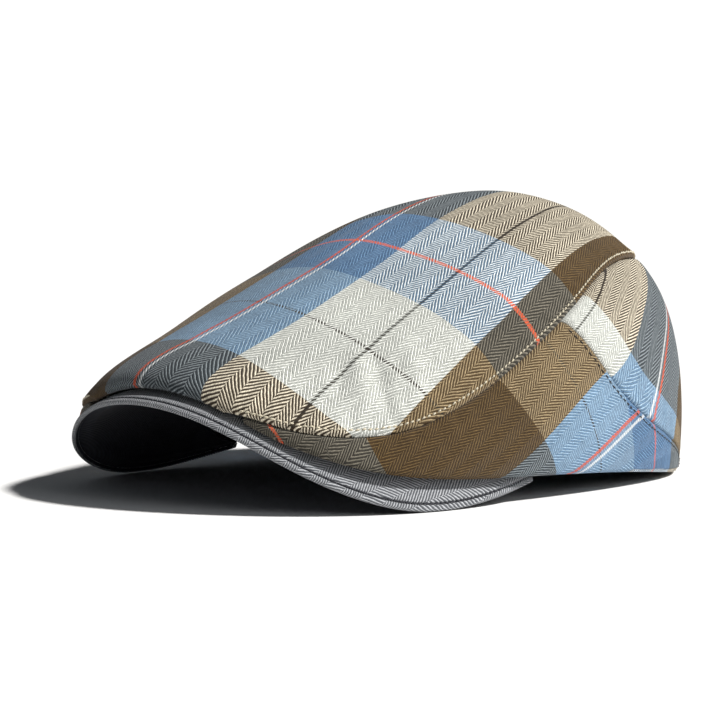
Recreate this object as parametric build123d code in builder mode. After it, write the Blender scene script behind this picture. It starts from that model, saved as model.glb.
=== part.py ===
from build123d import *
import math
import os

os.makedirs("parts", exist_ok=True)

# Flat "duckbill" cap, millimetres, +Z up, front of the cap towards -Y, wearer's left towards +X.
# The crown is one free-form skin.  Its control net is given below for the left half
# (row 0 = front centre, row 4 = left side, row 8 = back centre); the right half mirrors it.
# Each row runs from the lower edge of the crown to the flat ring round the apex.

# ---- driving dimensions -------------------------------------------------------------------
Z_SHIFT = 0.03          # puts the lowest point on the floor
Y_SHIFT = -6.74          # puts the centre of the bounding box on the origin
CLOTH = 1.2              # outer cloth with its fusible backing
LINING = 0.5             # lining cloth
LINING_DEPTH = 1.9       # outer face of the crown to the outer face of the lining
SEAM_HALF_GAP = 0.0011   # half of the gap left at each seam, in disk units (about 0.12 mm)
THREAD = 0.35            # height of a row of stitches on the cloth
BAND_CLOTH = 1.0         # sweatband
ELASTIC = 0.8
UNDER_COVER = 0.8        # brim, from below
BOARD = 1.6
TOP_COVER = 0.9
LAYER_GAP = 0.05
STRIP = 0.8              # cloth turned up round the brim's edge
LABEL_W = 18.0
LABEL_H = 20.0
LABEL_T = 0.35

APEX = (0.0, 59.4, 116.3)
CROWN = [
    [(0.0, -121.6, 46.2), (0.0, -124.5, 51.9), (0.0, -83.5, 67.2), (0.0, -33.8, 95.9), (0.0, 26.1, 116.3)],
    [(41.1, -117.7, 37.6), (42.0, -118.5, 47.2), (29.2, -78.5, 65.2), (17.7, -29.8, 94.8), (7.8, 26.1, 116.3)],
    [(73.6, -102.7, 20.1), (75.3, -98.3, 35.2), (57.3, -61.1, 60.6), (36.3, -20.1, 92.9), (14.7, 32.0, 116.3)],
    [(92.6, -63.5, 10.5), (97.3, -56.9, 26.3), (83.7, -34.9, 57.6), (56.8, -0.9, 93.6), (21.7, 41.8, 116.3)],
    [(94.4, -0.7, 9.1), (104.2, -3.4, 21.3), (97.9, 7.6, 61.5), (69.6, 24.6, 97.1), (25.7, 53.6, 116.3)],
    [(89.3, 55.3, 6.0), (95.7, 52.4, 18.1), (93.8, 55.4, 62.6), (68.5, 56.5, 99.0), (24.7, 65.5, 116.3)],
    [(72.9, 105.1, 0.3), (73.5, 105.5, 16.6), (76.6, 101.5, 62.8), (56.2, 90.8, 97.2), (19.8, 77.4, 116.3)],
    [(40.0, 128.9, -0.2), (39.9, 136.5, 15.0), (42.7, 131.7, 61.5), (31.0, 110.8, 96.0), (10.9, 83.4, 116.3)],
    [(0.0, 136.6, -0.2), (0.0, 146.1, 14.1), (0.0, 140.8, 60.4), (0.0, 116.7, 95.2), (0.0, 87.4, 116.3)],
]

# Brim: control net of its upper face, left half, row 0 = front centre, row 6 = temple.
# Columns run from the outer edge to the edge at the head opening.
BRIM = [
    [(0.0, -127.8, 41.0), (0.0, -119.0, 45.0), (0.0, -98.0, 49.5), (0.0, -71.5, 49.5)],
    [(38.8, -123.6, 35.0), (38.0, -114.0, 39.5), (34.0, -92.0, 44.5), (30.0, -67.0, 45.5)],
    [(71.3, -106.3, 14.8), (68.6, -99.3, 21.4), (60.0, -79.0, 30.4), (52.5, -56.5, 36.0)],
    [(88.3, -73.8, 0.2), (86.3, -70.3, 9.3), (78.0, -57.5, 19.4), (68.5, -42.5, 26.0)],
    [(92.0, -41.5, 0.4), (90.8, -40.5, 8.6), (85.6, -35.0, 14.6), (79.0, -27.0, 18.5)],
    [(90.9, -18.4, 4.2), (90.4, -18.3, 8.0), (88.2, -16.5, 11.2), (84.5, -13.5, 13.0)],
    [(87.4, -1.0, 8.0), (87.0, -1.0, 9.2), (86.5, -1.0, 10.4), (86.0, -1.0, 11.4)],
]

# Sweatband: outer face, left half of a closed loop, row 0 = front centre, row 8 = back centre; lower and upper edge.
BAND = [
    [(0.0, -70.4, 46.6), (0.0, -64.4, 71.2)],
    [(30.5, -66.0, 42.8), (28.0, -60.2, 68.8)],
    [(55.0, -52.0, 32.5), (51.0, -47.0, 59.5)],
    [(73.5, -30.0, 18.5), (69.5, -27.0, 45.5)],
    [(83.2, 4.0, 9.8), (82.0, 4.0, 37.0)],
    [(86.3, 48.5, 7.4), (83.0, 47.0, 34.6)],
    [(71.8, 99.6, 3.4), (68.8, 96.4, 30.6)],
    [(39.3, 126.3, 2.6), (37.6, 122.4, 29.8)],
    [(0.0, 133.9, 2.6), (0.0, 130.0, 29.8)],
]

# Seam lines of the crown in disk coordinates: radius 1 is the lower edge, 0 the apex,
# +first axis the front, +second axis the wearer's left.
# Both are cubic curves given by their control points.
S_TIP = 1.00             # station where the side panel's wedge starts on the front edge
S_BACK = 6.45            # station where the back seam meets the lower edge
CROWN_SEAM = [(0.9239, 0.3827), (0.8668, 0.4413), (0.796, 0.5623), (0.5882, 0.7274), (0.3737, 0.7864), (0.1373, 0.7019),
              (-0.0527, 0.5591), (-0.1798, 0.3618), (-0.3736, 0.2206), (-0.4535, 0.0865), (-0.4535, 0.0)]
BACK_SEAM = [(-0.8204, 0.5718), (-0.7579, 0.6131), (-0.6221, 0.6925), (-0.4134, 0.7784), (-0.165, 0.7575),
             (-0.0625, 0.6369), (-0.0052, 0.5867)]
JOIN = 0.597             # where along the crown seam the back seam meets it
CORNER = 0.786           # where along the crown seam the back corner of the top piece lies


# ---- surface mathematics ------------------------------------------------------------------
def cubic(f):
    g = 1.0 - f
    return (g * g * g / 6.0, (3 * f ** 3 - 6 * f * f + 4) / 6.0, (-3 * f ** 3 + 3 * f * f + 3 * f + 1) / 6.0, f ** 3 / 6.0)


def clamped(t, n):
    """Cubic clamped uniform basis: (first index, four values); runs on smoothly outside 0..1."""
    spans = n - 3
    i = min(max(int(math.floor(t * spans)), 0), spans - 1)
    knots = [0.0] * 3 + [k / spans for k in range(spans + 1)] + [1.0] * 3
    k = i + 3
    vals = [1.0]
    for d in range(1, 4):
        new = [0.0] * (d + 1)
        for j in range(d):
            a = knots[k - d + 1 + j]
            b = knots[k + 1 + j]
            w = (t - a) / (b - a)
            new[j] += vals[j] * (1 - w)
            new[j + 1] += vals[j] * w
        vals = new
    return i, vals


def ring_row(k):
    k %= 16
    if k <= 8:
        return [tuple(p) for p in CROWN[k]] + [APEX]
    return [(-p[0], p[1], p[2]) for p in CROWN[16 - k]] + [APEX]


ROWS = [ring_row(k) for k in range(16)]


def crown_st(s, t):
    s %= 16.0
    i = int(math.floor(s))
    w = cubic(s - i)
    j0, v = clamped(t, 6)
    x = y = z = 0.0
    for a in range(4):
        row = ROWS[(i - 1 + a) % 16]
        for b in range(4):
            c = w[a] * v[b]
            p = row[j0 + b]
            x += c * p[0]
            y += c * p[1]
            z += c * p[2]
    return (x, y + Y_SHIFT, z + Z_SHIFT)


def crown_pq(p, q):
    r = math.hypot(p, q)
    return crown_st(math.atan2(q, p) * 8.0 / math.pi, 1.0 - r)


def sub(a, b):
    return (a[0] - b[0], a[1] - b[1], a[2] - b[2])


def cross(a, b):
    return (a[1] * b[2] - a[2] * b[1], a[2] * b[0] - a[0] * b[2], a[0] * b[1] - a[1] * b[0])


def unit(a):
    n = math.sqrt(a[0] ** 2 + a[1] ** 2 + a[2] ** 2)
    return (a[0] / n, a[1] / n, a[2] / n)


def crown_normal(p, q):
    h = 0.004
    dp = sub(crown_pq(p + h, q), crown_pq(p - h, q))
    dq = sub(crown_pq(p, q + h), crown_pq(p, q - h))
    n = unit(cross(dp, dq))
    c = crown_pq(p, q)
    out = (c[0], c[1] - 20.0, c[2] - 40.0)
    if n[0] * out[0] + n[1] * out[1] + n[2] * out[2] < 0:
        n = (-n[0], -n[1], -n[2])
    return n


def crown_in(p, q, depth):
    """Point of the crown moved inwards by depth."""
    c = crown_pq(p, q)
    n = crown_normal(p, q)
    return (c[0] - n[0] * depth, c[1] - n[1] * depth, c[2] - n[2] * depth)


def edge_pq(s):
    a = s * math.pi / 8.0
    return (math.cos(a), math.sin(a))


def spline(points, u):
    """Clamped cubic curve with these control points, u in 0..1."""
    i, w = clamped(u, len(points))
    return tuple(sum(w[a] * points[i + a][k] for a in range(4)) for k in range(2))


def seam(u):
    """Crown seam, u = 0 at the left wedge tip, 1 at the back centre, 2 at the right wedge tip."""
    if u <= 1.0:
        return spline(CROWN_SEAM, u)
    p, q = spline(CROWN_SEAM, 2.0 - u)
    return (p, -q)


def back_seam(u):
    """Left back seam, from the lower edge up to the crown seam."""
    return spline(BACK_SEAM, u)


def shift(curve, side, amount=SEAM_HALF_GAP):
    """Moves a disk curve sideways, by the seam half gap unless another amount is given."""
    def moved(u):
        a, b, c = curve(u - 0.002), curve(u + 0.002), curve(u)
        dx, dy = b[0] - a[0], b[1] - a[1]
        n = math.hypot(dx, dy)
        return (c[0] - side * dy / n * amount, c[1] + side * dx / n * amount)
    return moved


def coons(c0, c1, d0, d1, u, v):
    """Patch with c0 at v=0, c1 at v=1, d0 at u=0, d1 at u=1."""
    a, b, c, d = c0(u), c1(u), d0(v), d1(v)
    p00, p10, p01, p11 = c0(0.0), c0(1.0), c1(0.0), c1(1.0)
    return tuple((1 - v) * a[k] + v * b[k] + (1 - u) * c[k] + u * d[k]
                 - (1 - u) * (1 - v) * p00[k] - u * (1 - v) * p10[k] - (1 - u) * v * p01[k] - u * v * p11[k]
                 for k in range(2))


def mirror_q(curve):
    return lambda u: (curve(u)[0], -curve(u)[1])


def surface(fn, nu, nv):
    """Face through a grid of points fn(u, v)."""
    grid = [[Vector(*fn(i / (nu - 1), j / (nv - 1))) for j in range(nv)] for i in range(nu)]
    return Face.make_surface_from_array_of_points(grid)


def skin(fn, thickness, nu, nv, inside=(0.0, 20.0, 10.0)):
    """Closed solid between the face fn and the same face moved by thickness towards the point inside."""
    face = surface(fn, nu, nv)
    c = face.center()
    m = face.normal_at(c)
    away = m.X * (c.X - inside[0]) + m.Y * (c.Y - inside[1]) + m.Z * (c.Z - inside[2]) > 0
    thicken(face, amount=-thickness if away else thickness)


# ---- crown pieces in disk coordinates -------------------------------------------------------
TOP_SIDE = shift(seam, 1)         # the top piece's side of the crown seam
LOW_SIDE = shift(seam, -1)        # the other side of it
BACK_LEFT = shift(back_seam, 1)   # the side piece's side of the back seam
BACK_REAR = shift(back_seam, -1)  # the back piece's side of it
WEDGE_START = 0.040               # the side piece's wedge is cut blunt here on the crown seam


def region_top(u, v):
    """u from the right seam to the left seam, v from the front edge to the tongue end."""
    return coons(lambda a: edge_pq(-S_TIP + 2 * S_TIP * a),
                 lambda a: TOP_SIDE(2 - CORNER - a * (2 - 2 * CORNER)),
                 lambda a: TOP_SIDE(2 - a * CORNER),
                 lambda a: TOP_SIDE(a * CORNER), u, v)


def region_cover(u, v):
    """A four-sided patch a little larger than the top piece, which is then trimmed along its seam."""
    return coons(lambda a: edge_pq(-2.6 + 5.2 * a),
                 lambda a: (-0.52, -0.84 + 1.68 * a),
                 lambda a: (edge_pq(-2.6)[0] * (1 - a) - 0.52 * a, edge_pq(-2.6)[1] * (1 - a) - 0.84 * a),
                 lambda a: (edge_pq(2.6)[0] * (1 - a) - 0.52 * a, edge_pq(2.6)[1] * (1 - a) + 0.84 * a), u, v)


def seam_wall(u, v):
    """Wall standing across the crown along the top piece's side of the seam."""
    return crown_in(*TOP_SIDE(-0.03 + 2.06 * u), 6.0 * v - 2.5)


def seam_above(a):
    return LOW_SIDE(WEDGE_START + (JOIN - 0.0012 - WEDGE_START) * a)


def station(c):
    return math.atan2(c[1], c[0]) * 8.0 / math.pi


def edge_below(a):
    return edge_pq(station(seam_above(a)) + (S_BACK - 0.003 - station(seam_above(1.0))) * a * a)


def polar(c):
    return (station(c), math.hypot(c[0], c[1]))


def region_left(u, v):
    """u from the wedge tip back to the back seam, v from the lower edge up to the crown seam."""
    def wedge_end(w):
        p, q = polar(edge_below(0.0)), polar(seam_above(0.0))
        return (p[0] + (q[0] - p[0]) * w, p[1] + (q[1] - p[1]) * w)
    s, r = coons(lambda a: polar(edge_below(a)), lambda a: polar(seam_above(a)), wedge_end,
                 lambda w: polar(BACK_LEFT(w)), u, v)
    return (min(r, 1.0) * math.cos(s * math.pi / 8.0), min(r, 1.0) * math.sin(s * math.pi / 8.0))


def region_back(u, v):
    """u from the left back seam to the right one, v from the lower edge up."""
    return coons(lambda a: edge_pq(S_BACK + 0.003 + (16 - 2 * S_BACK - 0.006) * a),
                 lambda a: LOW_SIDE(JOIN + (2 - 2 * JOIN) * a),
                 BACK_REAR,
                 mirror_q(BACK_REAR), u, v)


def turned(region, depth):
    """A crown region as a function giving 3-D points at a depth under the outer face."""
    return lambda u, v: crown_in(*region(u, v), depth)


def mirrored(fn):
    def m(u, v):
        x, y, z = fn(u, v)
        return (-x, y, z)
    return m


# ---- lining, a copy of the crown a little inside it -------------------------------------------
# lowest radius of the lining in disk units, by station: it stops above the sweatband's foot, and at the
# front it stops where the sweatband's upper edge meets the slope
LINING_R = [(0, 0.560), (1, 0.585), (2, 0.680), (3, 0.840), (4, 0.930), (5, 0.945), (6, 0.950), (7, 0.950), (8, 0.950)]


def lining_edge(s):
    s = abs(s)
    s = 16 - s if s > 8 else s
    i = min(int(s), 7)
    pts = LINING_R
    p0 = pts[i - 1][1] if i > 0 else pts[1][1]
    p1, p2 = pts[i][1], pts[i + 1][1]
    p3 = pts[i + 2][1] if i + 2 < len(pts) else pts[7][1]
    f = s - i
    r = 0.5 * (2 * p1 + (p2 - p0) * f + (2 * p0 - 5 * p1 + 4 * p2 - p3) * f * f + (3 * p1 - p0 - 3 * p2 + p3) * f ** 3)
    return r


def edge_lining(s):
    r = lining_edge(s)
    a = s * math.pi / 8.0
    return (r * math.cos(a), r * math.sin(a))


S_LINING_FRONT = 1.15    # stations where the lining's seam meets its lower edge
S_LINING_BACK = 6.95


def lining_seam(a):
    """Left seam of the lining's middle strip, from the front edge to the back edge, bowed out a little."""
    f, b = edge_pq(S_LINING_FRONT), edge_pq(S_LINING_BACK)
    return (f[0] * (1 - a) + b[0] * a, f[1] * (1 - a) + b[1] * a + 0.10 * math.sin(math.pi * a))


def region_lining_middle(u, v):
    """u from right to left, v from front to back."""
    return coons(lambda a: edge_pq(-S_LINING_FRONT + 2 * S_LINING_FRONT * a),
                 lambda a: edge_pq(16 - S_LINING_BACK + (2 * S_LINING_BACK - 16) * a),
                 lambda a: (lining_seam(a)[0], 0.0016 - lining_seam(a)[1]),
                 lambda a: (lining_seam(a)[0], lining_seam(a)[1] - 0.0016), u, v)


def region_lining_left(u, v):
    """u from the front to the back, v from the lower edge up to the seam; both ends are cut blunt."""
    a = 0.035 + 0.93 * u
    p, q = lining_seam(a)
    s = station((p, q))
    e = edge_pq(s)
    return (e[0] * (1 - v) + p * v, e[1] * (1 - v) + (q + 0.0016) * v)


# ---- brim --------------------------------------------------------------------------------------
def brim_row(i):
    """Row i of the full brim net, 0 = right temple, 6 = front centre, 12 = left temple."""
    if i >= 6:
        return BRIM[i - 6]
    return [(-p[0], p[1], p[2]) for p in BRIM[6 - i]]


def brim_uv(u, v):
    i0, w = clamped(u, 13)
    g = 1.0 - v
    c = (g ** 3, 3 * g * g * v, 3 * g * v * v, v ** 3)
    x = y = z = 0.0
    for a in range(4):
        row = brim_row(i0 + a)
        for b in range(4):
            k = w[a] * c[b]
            x += k * row[b][0]
            y += k * row[b][1]
            z += k * row[b][2]
    return (x, y + Y_SHIFT, z + Z_SHIFT)


def brim_down(u, v, depth):
    """Point of the brim's upper face moved down (inwards) by depth."""
    h = 0.002
    du = sub(brim_uv(u + h, v), brim_uv(u - h, v))
    dv = sub(brim_uv(u, v + h), brim_uv(u, v - h))
    n = unit(cross(du, dv))
    if n[2] < 0 and abs(u - 0.5) < 0.4 or n[0] * (u - 0.5) < 0 and abs(u - 0.5) >= 0.4:
        n = (-n[0], -n[1], -n[2])
    c = brim_uv(u, v)
    return (c[0] - n[0] * depth, c[1] - n[1] * depth, c[2] - n[2] * depth)


# ---- sweatband ---------------------------------------------------------------------------------
def band_row(k):
    k %= 16
    if k <= 8:
        return BAND[k]
    return [(-p[0], p[1], p[2]) for p in BAND[16 - k]]


def band_sv(s, v):
    """s = station 0..16 round the loop, v = 0 lower edge, 1 upper edge."""
    s %= 16.0
    i = int(math.floor(s))
    w = cubic(s - i)
    x = y = z = 0.0
    for a in range(4):
        lo, hi = band_row(i - 1 + a)
        x += w[a] * (lo[0] * (1 - v) + hi[0] * v)
        y += w[a] * (lo[1] * (1 - v) + hi[1] * v)
        z += w[a] * (lo[2] * (1 - v) + hi[2] * v)
    return (x, y + Y_SHIFT, z + Z_SHIFT)


def band_in(s, v, depth):
    """Point of the sweatband's outer face moved towards the head by depth."""
    h = 0.01
    ds = sub(band_sv(s + h, v), band_sv(s - h, v))
    dv = sub(band_sv(s, v + h), band_sv(s, v - h))
    n = unit(cross(ds, dv))
    c = band_sv(s, v)
    if n[0] * c[0] + n[1] * (c[1] - 30.0) < 0:
        n = (-n[0], -n[1], -n[2])
    return (c[0] - n[0] * depth, c[1] - n[1] * depth, c[2] - n[2] * depth)


def rim_inset(u):
    """v at which the brim's upper face is one edge strip in from the rim."""
    step, total, v = 0.005, 0.0, 0.0
    p = brim_uv(u, 0.0)
    while v < 0.45:
        q = brim_uv(u, v + step)
        d = math.dist(p, q)
        if total + d >= STRIP + 0.1:
            return v + step * (STRIP + 0.1 - total) / d
        total += d
        v += step
        p = q
    return 0.45


def brim_layer(depth, inner=1.0, side=0.0):
    def fn(u, v):
        w = side + (1 - 2 * side) * u
        a = rim_inset(w)
        return brim_down(w, a + (inner - a) * v, depth)
    return fn


def limited(region):
    """The region pulled in so that it stays inside the lining's lower edge."""
    def fn(u, v):
        p, q = region(u, v)
        s = station((p, q))
        s = s if s >= 0 else s + 16
        r = math.hypot(p, q)
        r *= 1.0 - (1.0 - lining_edge(s)) * r
        return (r * math.cos(s * math.pi / 8.0), r * math.sin(s * math.pi / 8.0))
    return fn


def stitch_on_crown(curve, half_width=0.28, lift=0.12):
    """Narrow ribbon of thread lying on the crown along a disk curve."""
    def fn(u, v):
        a, b, c = curve(u - 0.002), curve(u + 0.002), curve(u)
        p, q = crown_pq(*a), crown_pq(*b)
        n = crown_normal(*c)
        side = unit(cross(n, sub(q, p)))
        o = crown_pq(*c)
        k = (2 * v - 1) * half_width
        return tuple(o[i] + n[i] * (lift + THREAD) + side[i] * k for i in range(3))
    return fn


# ---- build --------------------------------------------------------------------------------------
# crown: four pieces of cloth
with BuildPart() as top_panel:
    skin(turned(region_cover, 0.0), CLOTH, 21, 21)
    split(bisect_by=surface(seam_wall, 81, 3), keep=Keep.BOTH)
    add(top_panel.part.solids().sort_by(SortBy.VOLUME)[-1], mode=Mode.REPLACE)

with BuildPart() as left_side_panel:
    skin(turned(region_left, 0.0), CLOTH, 21, 9)

with BuildPart() as right_side_panel:
    skin(mirrored(turned(region_left, 0.0)), CLOTH, 21, 9)

with BuildPart() as back_panel:
    skin(turned(region_back, 0.0), CLOTH, 21, 13)

# lining: a strip from front to back and two side pieces, close under the crown
with BuildPart() as lining_middle:
    skin(turned(limited(region_lining_middle), LINING_DEPTH), LINING, 9, 31)

with BuildPart() as lining_left:
    skin(turned(limited(region_lining_left), LINING_DEPTH), LINING, 25, 9)

with BuildPart() as lining_right:
    skin(mirrored(turned(limited(region_lining_left), LINING_DEPTH)), LINING, 25, 9)

# brim: top cover, board, and the under cover whose edge is turned up round the rim
BELOW = (0.0, -70.0, -60.0)
with BuildPart() as visor_top_cover:
    skin(brim_layer(0.0), TOP_COVER, 25, 7, BELOW)

with BuildPart() as visor_board:
    skin(brim_layer(TOP_COVER + LAYER_GAP, 0.97, 0.012), BOARD, 25, 7, BELOW)

UNDER_DEPTH = TOP_COVER + BOARD + 2 * LAYER_GAP
with BuildPart() as visor_under_cover:
    skin(lambda u, v: brim_down(u, 0.012 + 0.988 * v, UNDER_DEPTH), UNDER_COVER, 25, 7, BELOW)
    skin(lambda u, v: brim_down(0.03 + 0.94 * u, 0.0, (UNDER_DEPTH + UNDER_COVER) * v), STRIP, 41, 4,
         (0.0, -70.0, 25.0))

# sweatband, one strip that meets itself at the back centre, with elastic behind it there
with BuildPart() as sweatband:
    skin(lambda u, v: band_sv(8.03 + 15.94 * u, v), BAND_CLOTH, 65, 5, (0.0, 60.0, 40.0))

with BuildPart() as sweatband_elastic:
    skin(lambda u, v: band_in(5.9 + 4.2 * u, 0.30 + 0.60 * v, -1.15), ELASTIC, 21, 5, (0.0, 20.0, 20.0))

# threads
with BuildPart() as crown_topstitch:
    skin(stitch_on_crown(lambda u: shift(seam, 1, 0.021)(0.03 + 1.94 * u), lift=0.24), THREAD, 101, 3)

with BuildPart() as back_stitch_left:
    skin(stitch_on_crown(lambda u: shift(back_seam, 1, 0.014)(0.06 + 0.91 * u)), THREAD, 25, 3)

with BuildPart() as back_stitch_right:
    skin(mirrored(stitch_on_crown(lambda u: shift(back_seam, 1, 0.014)(0.06 + 0.91 * u))), THREAD, 25, 3)


def rim_stitch(u, v):
    w = 0.07 + 0.86 * u
    a = rim_inset(w)
    p, q = brim_down(w, a + 0.03, -0.1 - THREAD), brim_down(w, a + 0.06, -0.1 - THREAD)
    d = unit(sub(q, p))
    return tuple(p[i] + d[i] * 0.56 * v for i in range(3))


with BuildPart() as visor_edge_stitch:
    skin(rim_stitch, THREAD, 61, 3, BELOW)

# seams that hold the sweatband: to the hem behind the temples, to the brim between them
with BuildPart() as hem_stitch:
    skin(lambda u, v: band_in(4.7 + 6.6 * u, 0.05 + 0.03 * v, -0.5), THREAD, 41, 3, (0.0, 20.0, 20.0))

with BuildPart() as brim_join_stitch:
    skin(lambda u, v: band_in(-3.6 + 7.2 * u, 0.03 + 0.025 * v, -0.42), THREAD, 41, 3, (0.0, 20.0, 20.0))

# care label, hung from the sweatband at the back centre
LABEL_TOP = 26.5


def band_inner_y(x, z):
    """y of the sweatband's inner face at the back, at height z and distance x from the centre."""
    best = None
    for i in range(201):
        s = 7.0 + i * 0.01
        for j in range(41):
            p = band_in(s, 0.6 + 0.4 * j / 40, BAND_CLOTH)
            d = abs(p[0] - x) + abs(p[2] - z)
            if best is None or d < best[0]:
                best = (d, p[1])
    return best[1]


LABEL_Y = round(min(band_inner_y(LABEL_W / 2, LABEL_TOP), band_inner_y(0.0, LABEL_TOP)) - 0.45 - LABEL_T / 2, 2)
with BuildPart() as care_label:
    with Locations((0, LABEL_Y, LABEL_TOP - LABEL_H / 2)):
        Box(LABEL_W, LABEL_T, LABEL_H)

with BuildPart() as label_stitch:
    with Locations((0, LABEL_Y, LABEL_TOP + 0.45 + 0.3)):
        Box(LABEL_W - 2, 0.5, 0.6)

PARTS = {
    "top_panel": top_panel, "left_side_panel": left_side_panel, "right_side_panel": right_side_panel,
    "back_panel": back_panel, "lining_middle": lining_middle, "lining_left": lining_left, "lining_right": lining_right,
    "visor_top_cover": visor_top_cover, "visor_board": visor_board,
    "visor_under_cover": visor_under_cover, "sweatband": sweatband, "sweatband_elastic": sweatband_elastic,
    "crown_topstitch": crown_topstitch, "back_stitch_left": back_stitch_left, "back_stitch_right": back_stitch_right,
    "visor_edge_stitch": visor_edge_stitch, "hem_stitch": hem_stitch, "brim_join_stitch": brim_join_stitch,
    "label_stitch": label_stitch, "care_label": care_label,
}
low, high = [1e9] * 3, [-1e9] * 3
for name, piece in PARTS.items():
    piece.part.label = name
    export_step(piece.part, "parts/" + name + ".step")
    b = piece.part.bounding_box()
    for i, (a, c) in enumerate(((b.min.X, b.max.X), (b.min.Y, b.max.Y), (b.min.Z, b.max.Z))):
        low[i], high[i] = min(low[i], a), max(high[i], c)
    print(name, "valid", piece.part.is_valid, "solids", len(piece.part.solids()), "vol", round(piece.part.volume, 1),
          "min", [round(t, 2) for t in (b.min.X, b.min.Y, b.min.Z)], "max", [round(t, 2) for t in (b.max.X, b.max.Y, b.max.Z)])
print("all", [round(t, 3) for t in low], [round(t, 3) for t in high], "label y", LABEL_Y)
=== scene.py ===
"""Looks of the flat cap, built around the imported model. Metres, in the model's frame: +X is the cap's left, -Y its front, +Z up."""

import math

import bpy
import numpy as np
from mathutils import Matrix, Vector
from mathutils.kdtree import KDTree


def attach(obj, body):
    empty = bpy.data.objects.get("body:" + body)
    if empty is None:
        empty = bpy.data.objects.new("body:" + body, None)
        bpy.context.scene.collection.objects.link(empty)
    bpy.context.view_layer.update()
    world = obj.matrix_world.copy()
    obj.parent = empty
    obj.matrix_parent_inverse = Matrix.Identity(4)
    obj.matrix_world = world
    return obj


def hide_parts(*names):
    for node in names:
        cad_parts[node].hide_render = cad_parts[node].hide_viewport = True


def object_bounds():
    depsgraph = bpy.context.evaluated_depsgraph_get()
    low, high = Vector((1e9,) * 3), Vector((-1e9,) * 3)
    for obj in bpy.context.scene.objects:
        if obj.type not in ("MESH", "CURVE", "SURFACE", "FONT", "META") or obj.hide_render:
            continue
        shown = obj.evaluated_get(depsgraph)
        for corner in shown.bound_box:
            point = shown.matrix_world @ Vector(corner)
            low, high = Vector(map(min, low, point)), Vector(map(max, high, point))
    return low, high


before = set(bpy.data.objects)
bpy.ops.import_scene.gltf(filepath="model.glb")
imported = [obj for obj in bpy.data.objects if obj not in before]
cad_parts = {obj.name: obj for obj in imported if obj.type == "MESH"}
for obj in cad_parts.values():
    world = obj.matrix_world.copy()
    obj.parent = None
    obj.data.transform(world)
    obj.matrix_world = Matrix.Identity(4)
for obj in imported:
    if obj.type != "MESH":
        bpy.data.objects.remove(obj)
CAD_BOX = [list(c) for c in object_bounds()]
MM = 0.001

# ---- the cap's surfaces, as in the model (millimetres) ---------------------------------------------
Z_SHIFT, Y_SHIFT = 0.03, -6.74
SEAM_HALF_GAP = 0.0011
APEX = (0.0, 59.4, 116.3)
CROWN = [
    [(0.0, -121.6, 46.2), (0.0, -124.5, 51.9), (0.0, -83.5, 67.2), (0.0, -33.8, 95.9), (0.0, 26.1, 116.3)],
    [(41.1, -117.7, 37.6), (42.0, -118.5, 47.2), (29.2, -78.5, 65.2), (17.7, -29.8, 94.8), (7.8, 26.1, 116.3)],
    [(73.6, -102.7, 20.1), (75.3, -98.3, 35.2), (57.3, -61.1, 60.6), (36.3, -20.1, 92.9), (14.7, 32.0, 116.3)],
    [(92.6, -63.5, 10.5), (97.3, -56.9, 26.3), (83.7, -34.9, 57.6), (56.8, -0.9, 93.6), (21.7, 41.8, 116.3)],
    [(94.4, -0.7, 9.1), (104.2, -3.4, 21.3), (97.9, 7.6, 61.5), (69.6, 24.6, 97.1), (25.7, 53.6, 116.3)],
    [(89.3, 55.3, 6.0), (95.7, 52.4, 18.1), (93.8, 55.4, 62.6), (68.5, 56.5, 99.0), (24.7, 65.5, 116.3)],
    [(72.9, 105.1, 0.3), (73.5, 105.5, 16.6), (76.6, 101.5, 62.8), (56.2, 90.8, 97.2), (19.8, 77.4, 116.3)],
    [(40.0, 128.9, -0.2), (39.9, 136.5, 15.0), (42.7, 131.7, 61.5), (31.0, 110.8, 96.0), (10.9, 83.4, 116.3)],
    [(0.0, 136.6, -0.2), (0.0, 146.1, 14.1), (0.0, 140.8, 60.4), (0.0, 116.7, 95.2), (0.0, 87.4, 116.3)],
]
BRIM = [
    [(0.0, -127.8, 41.0), (0.0, -119.0, 45.0), (0.0, -98.0, 49.5), (0.0, -71.5, 49.5)],
    [(38.8, -123.6, 35.0), (38.0, -114.0, 39.5), (34.0, -92.0, 44.5), (30.0, -67.0, 45.5)],
    [(71.3, -106.3, 14.8), (68.6, -99.3, 21.4), (60.0, -79.0, 30.4), (52.5, -56.5, 36.0)],
    [(88.3, -73.8, 0.2), (86.3, -70.3, 9.3), (78.0, -57.5, 19.4), (68.5, -42.5, 26.0)],
    [(92.0, -41.5, 0.4), (90.8, -40.5, 8.6), (85.6, -35.0, 14.6), (79.0, -27.0, 18.5)],
    [(90.9, -18.4, 4.2), (90.4, -18.3, 8.0), (88.2, -16.5, 11.2), (84.5, -13.5, 13.0)],
    [(87.4, -1.0, 8.0), (87.0, -1.0, 9.2), (86.5, -1.0, 10.4), (86.0, -1.0, 11.4)],
]
BAND = [
    [(0.0, -70.4, 46.6), (0.0, -64.4, 71.2)],
    [(30.5, -66.0, 42.8), (28.0, -60.2, 68.8)],
    [(55.0, -52.0, 32.5), (51.0, -47.0, 59.5)],
    [(73.5, -30.0, 18.5), (69.5, -27.0, 45.5)],
    [(83.2, 4.0, 9.8), (82.0, 4.0, 37.0)],
    [(86.3, 48.5, 7.4), (83.0, 47.0, 34.6)],
    [(71.8, 99.6, 3.4), (68.8, 96.4, 30.6)],
    [(39.3, 126.3, 2.6), (37.6, 122.4, 29.8)],
    [(0.0, 133.9, 2.6), (0.0, 130.0, 29.8)],
]
S_TIP, S_BACK = 1.00, 6.45
CROWN_SEAM = [(0.9239, 0.3827), (0.8668, 0.4413), (0.796, 0.5623), (0.5882, 0.7274), (0.3737, 0.7864), (0.1373, 0.7019),
              (-0.0527, 0.5591), (-0.1798, 0.3618), (-0.3736, 0.2206), (-0.4535, 0.0865), (-0.4535, 0.0)]
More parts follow.
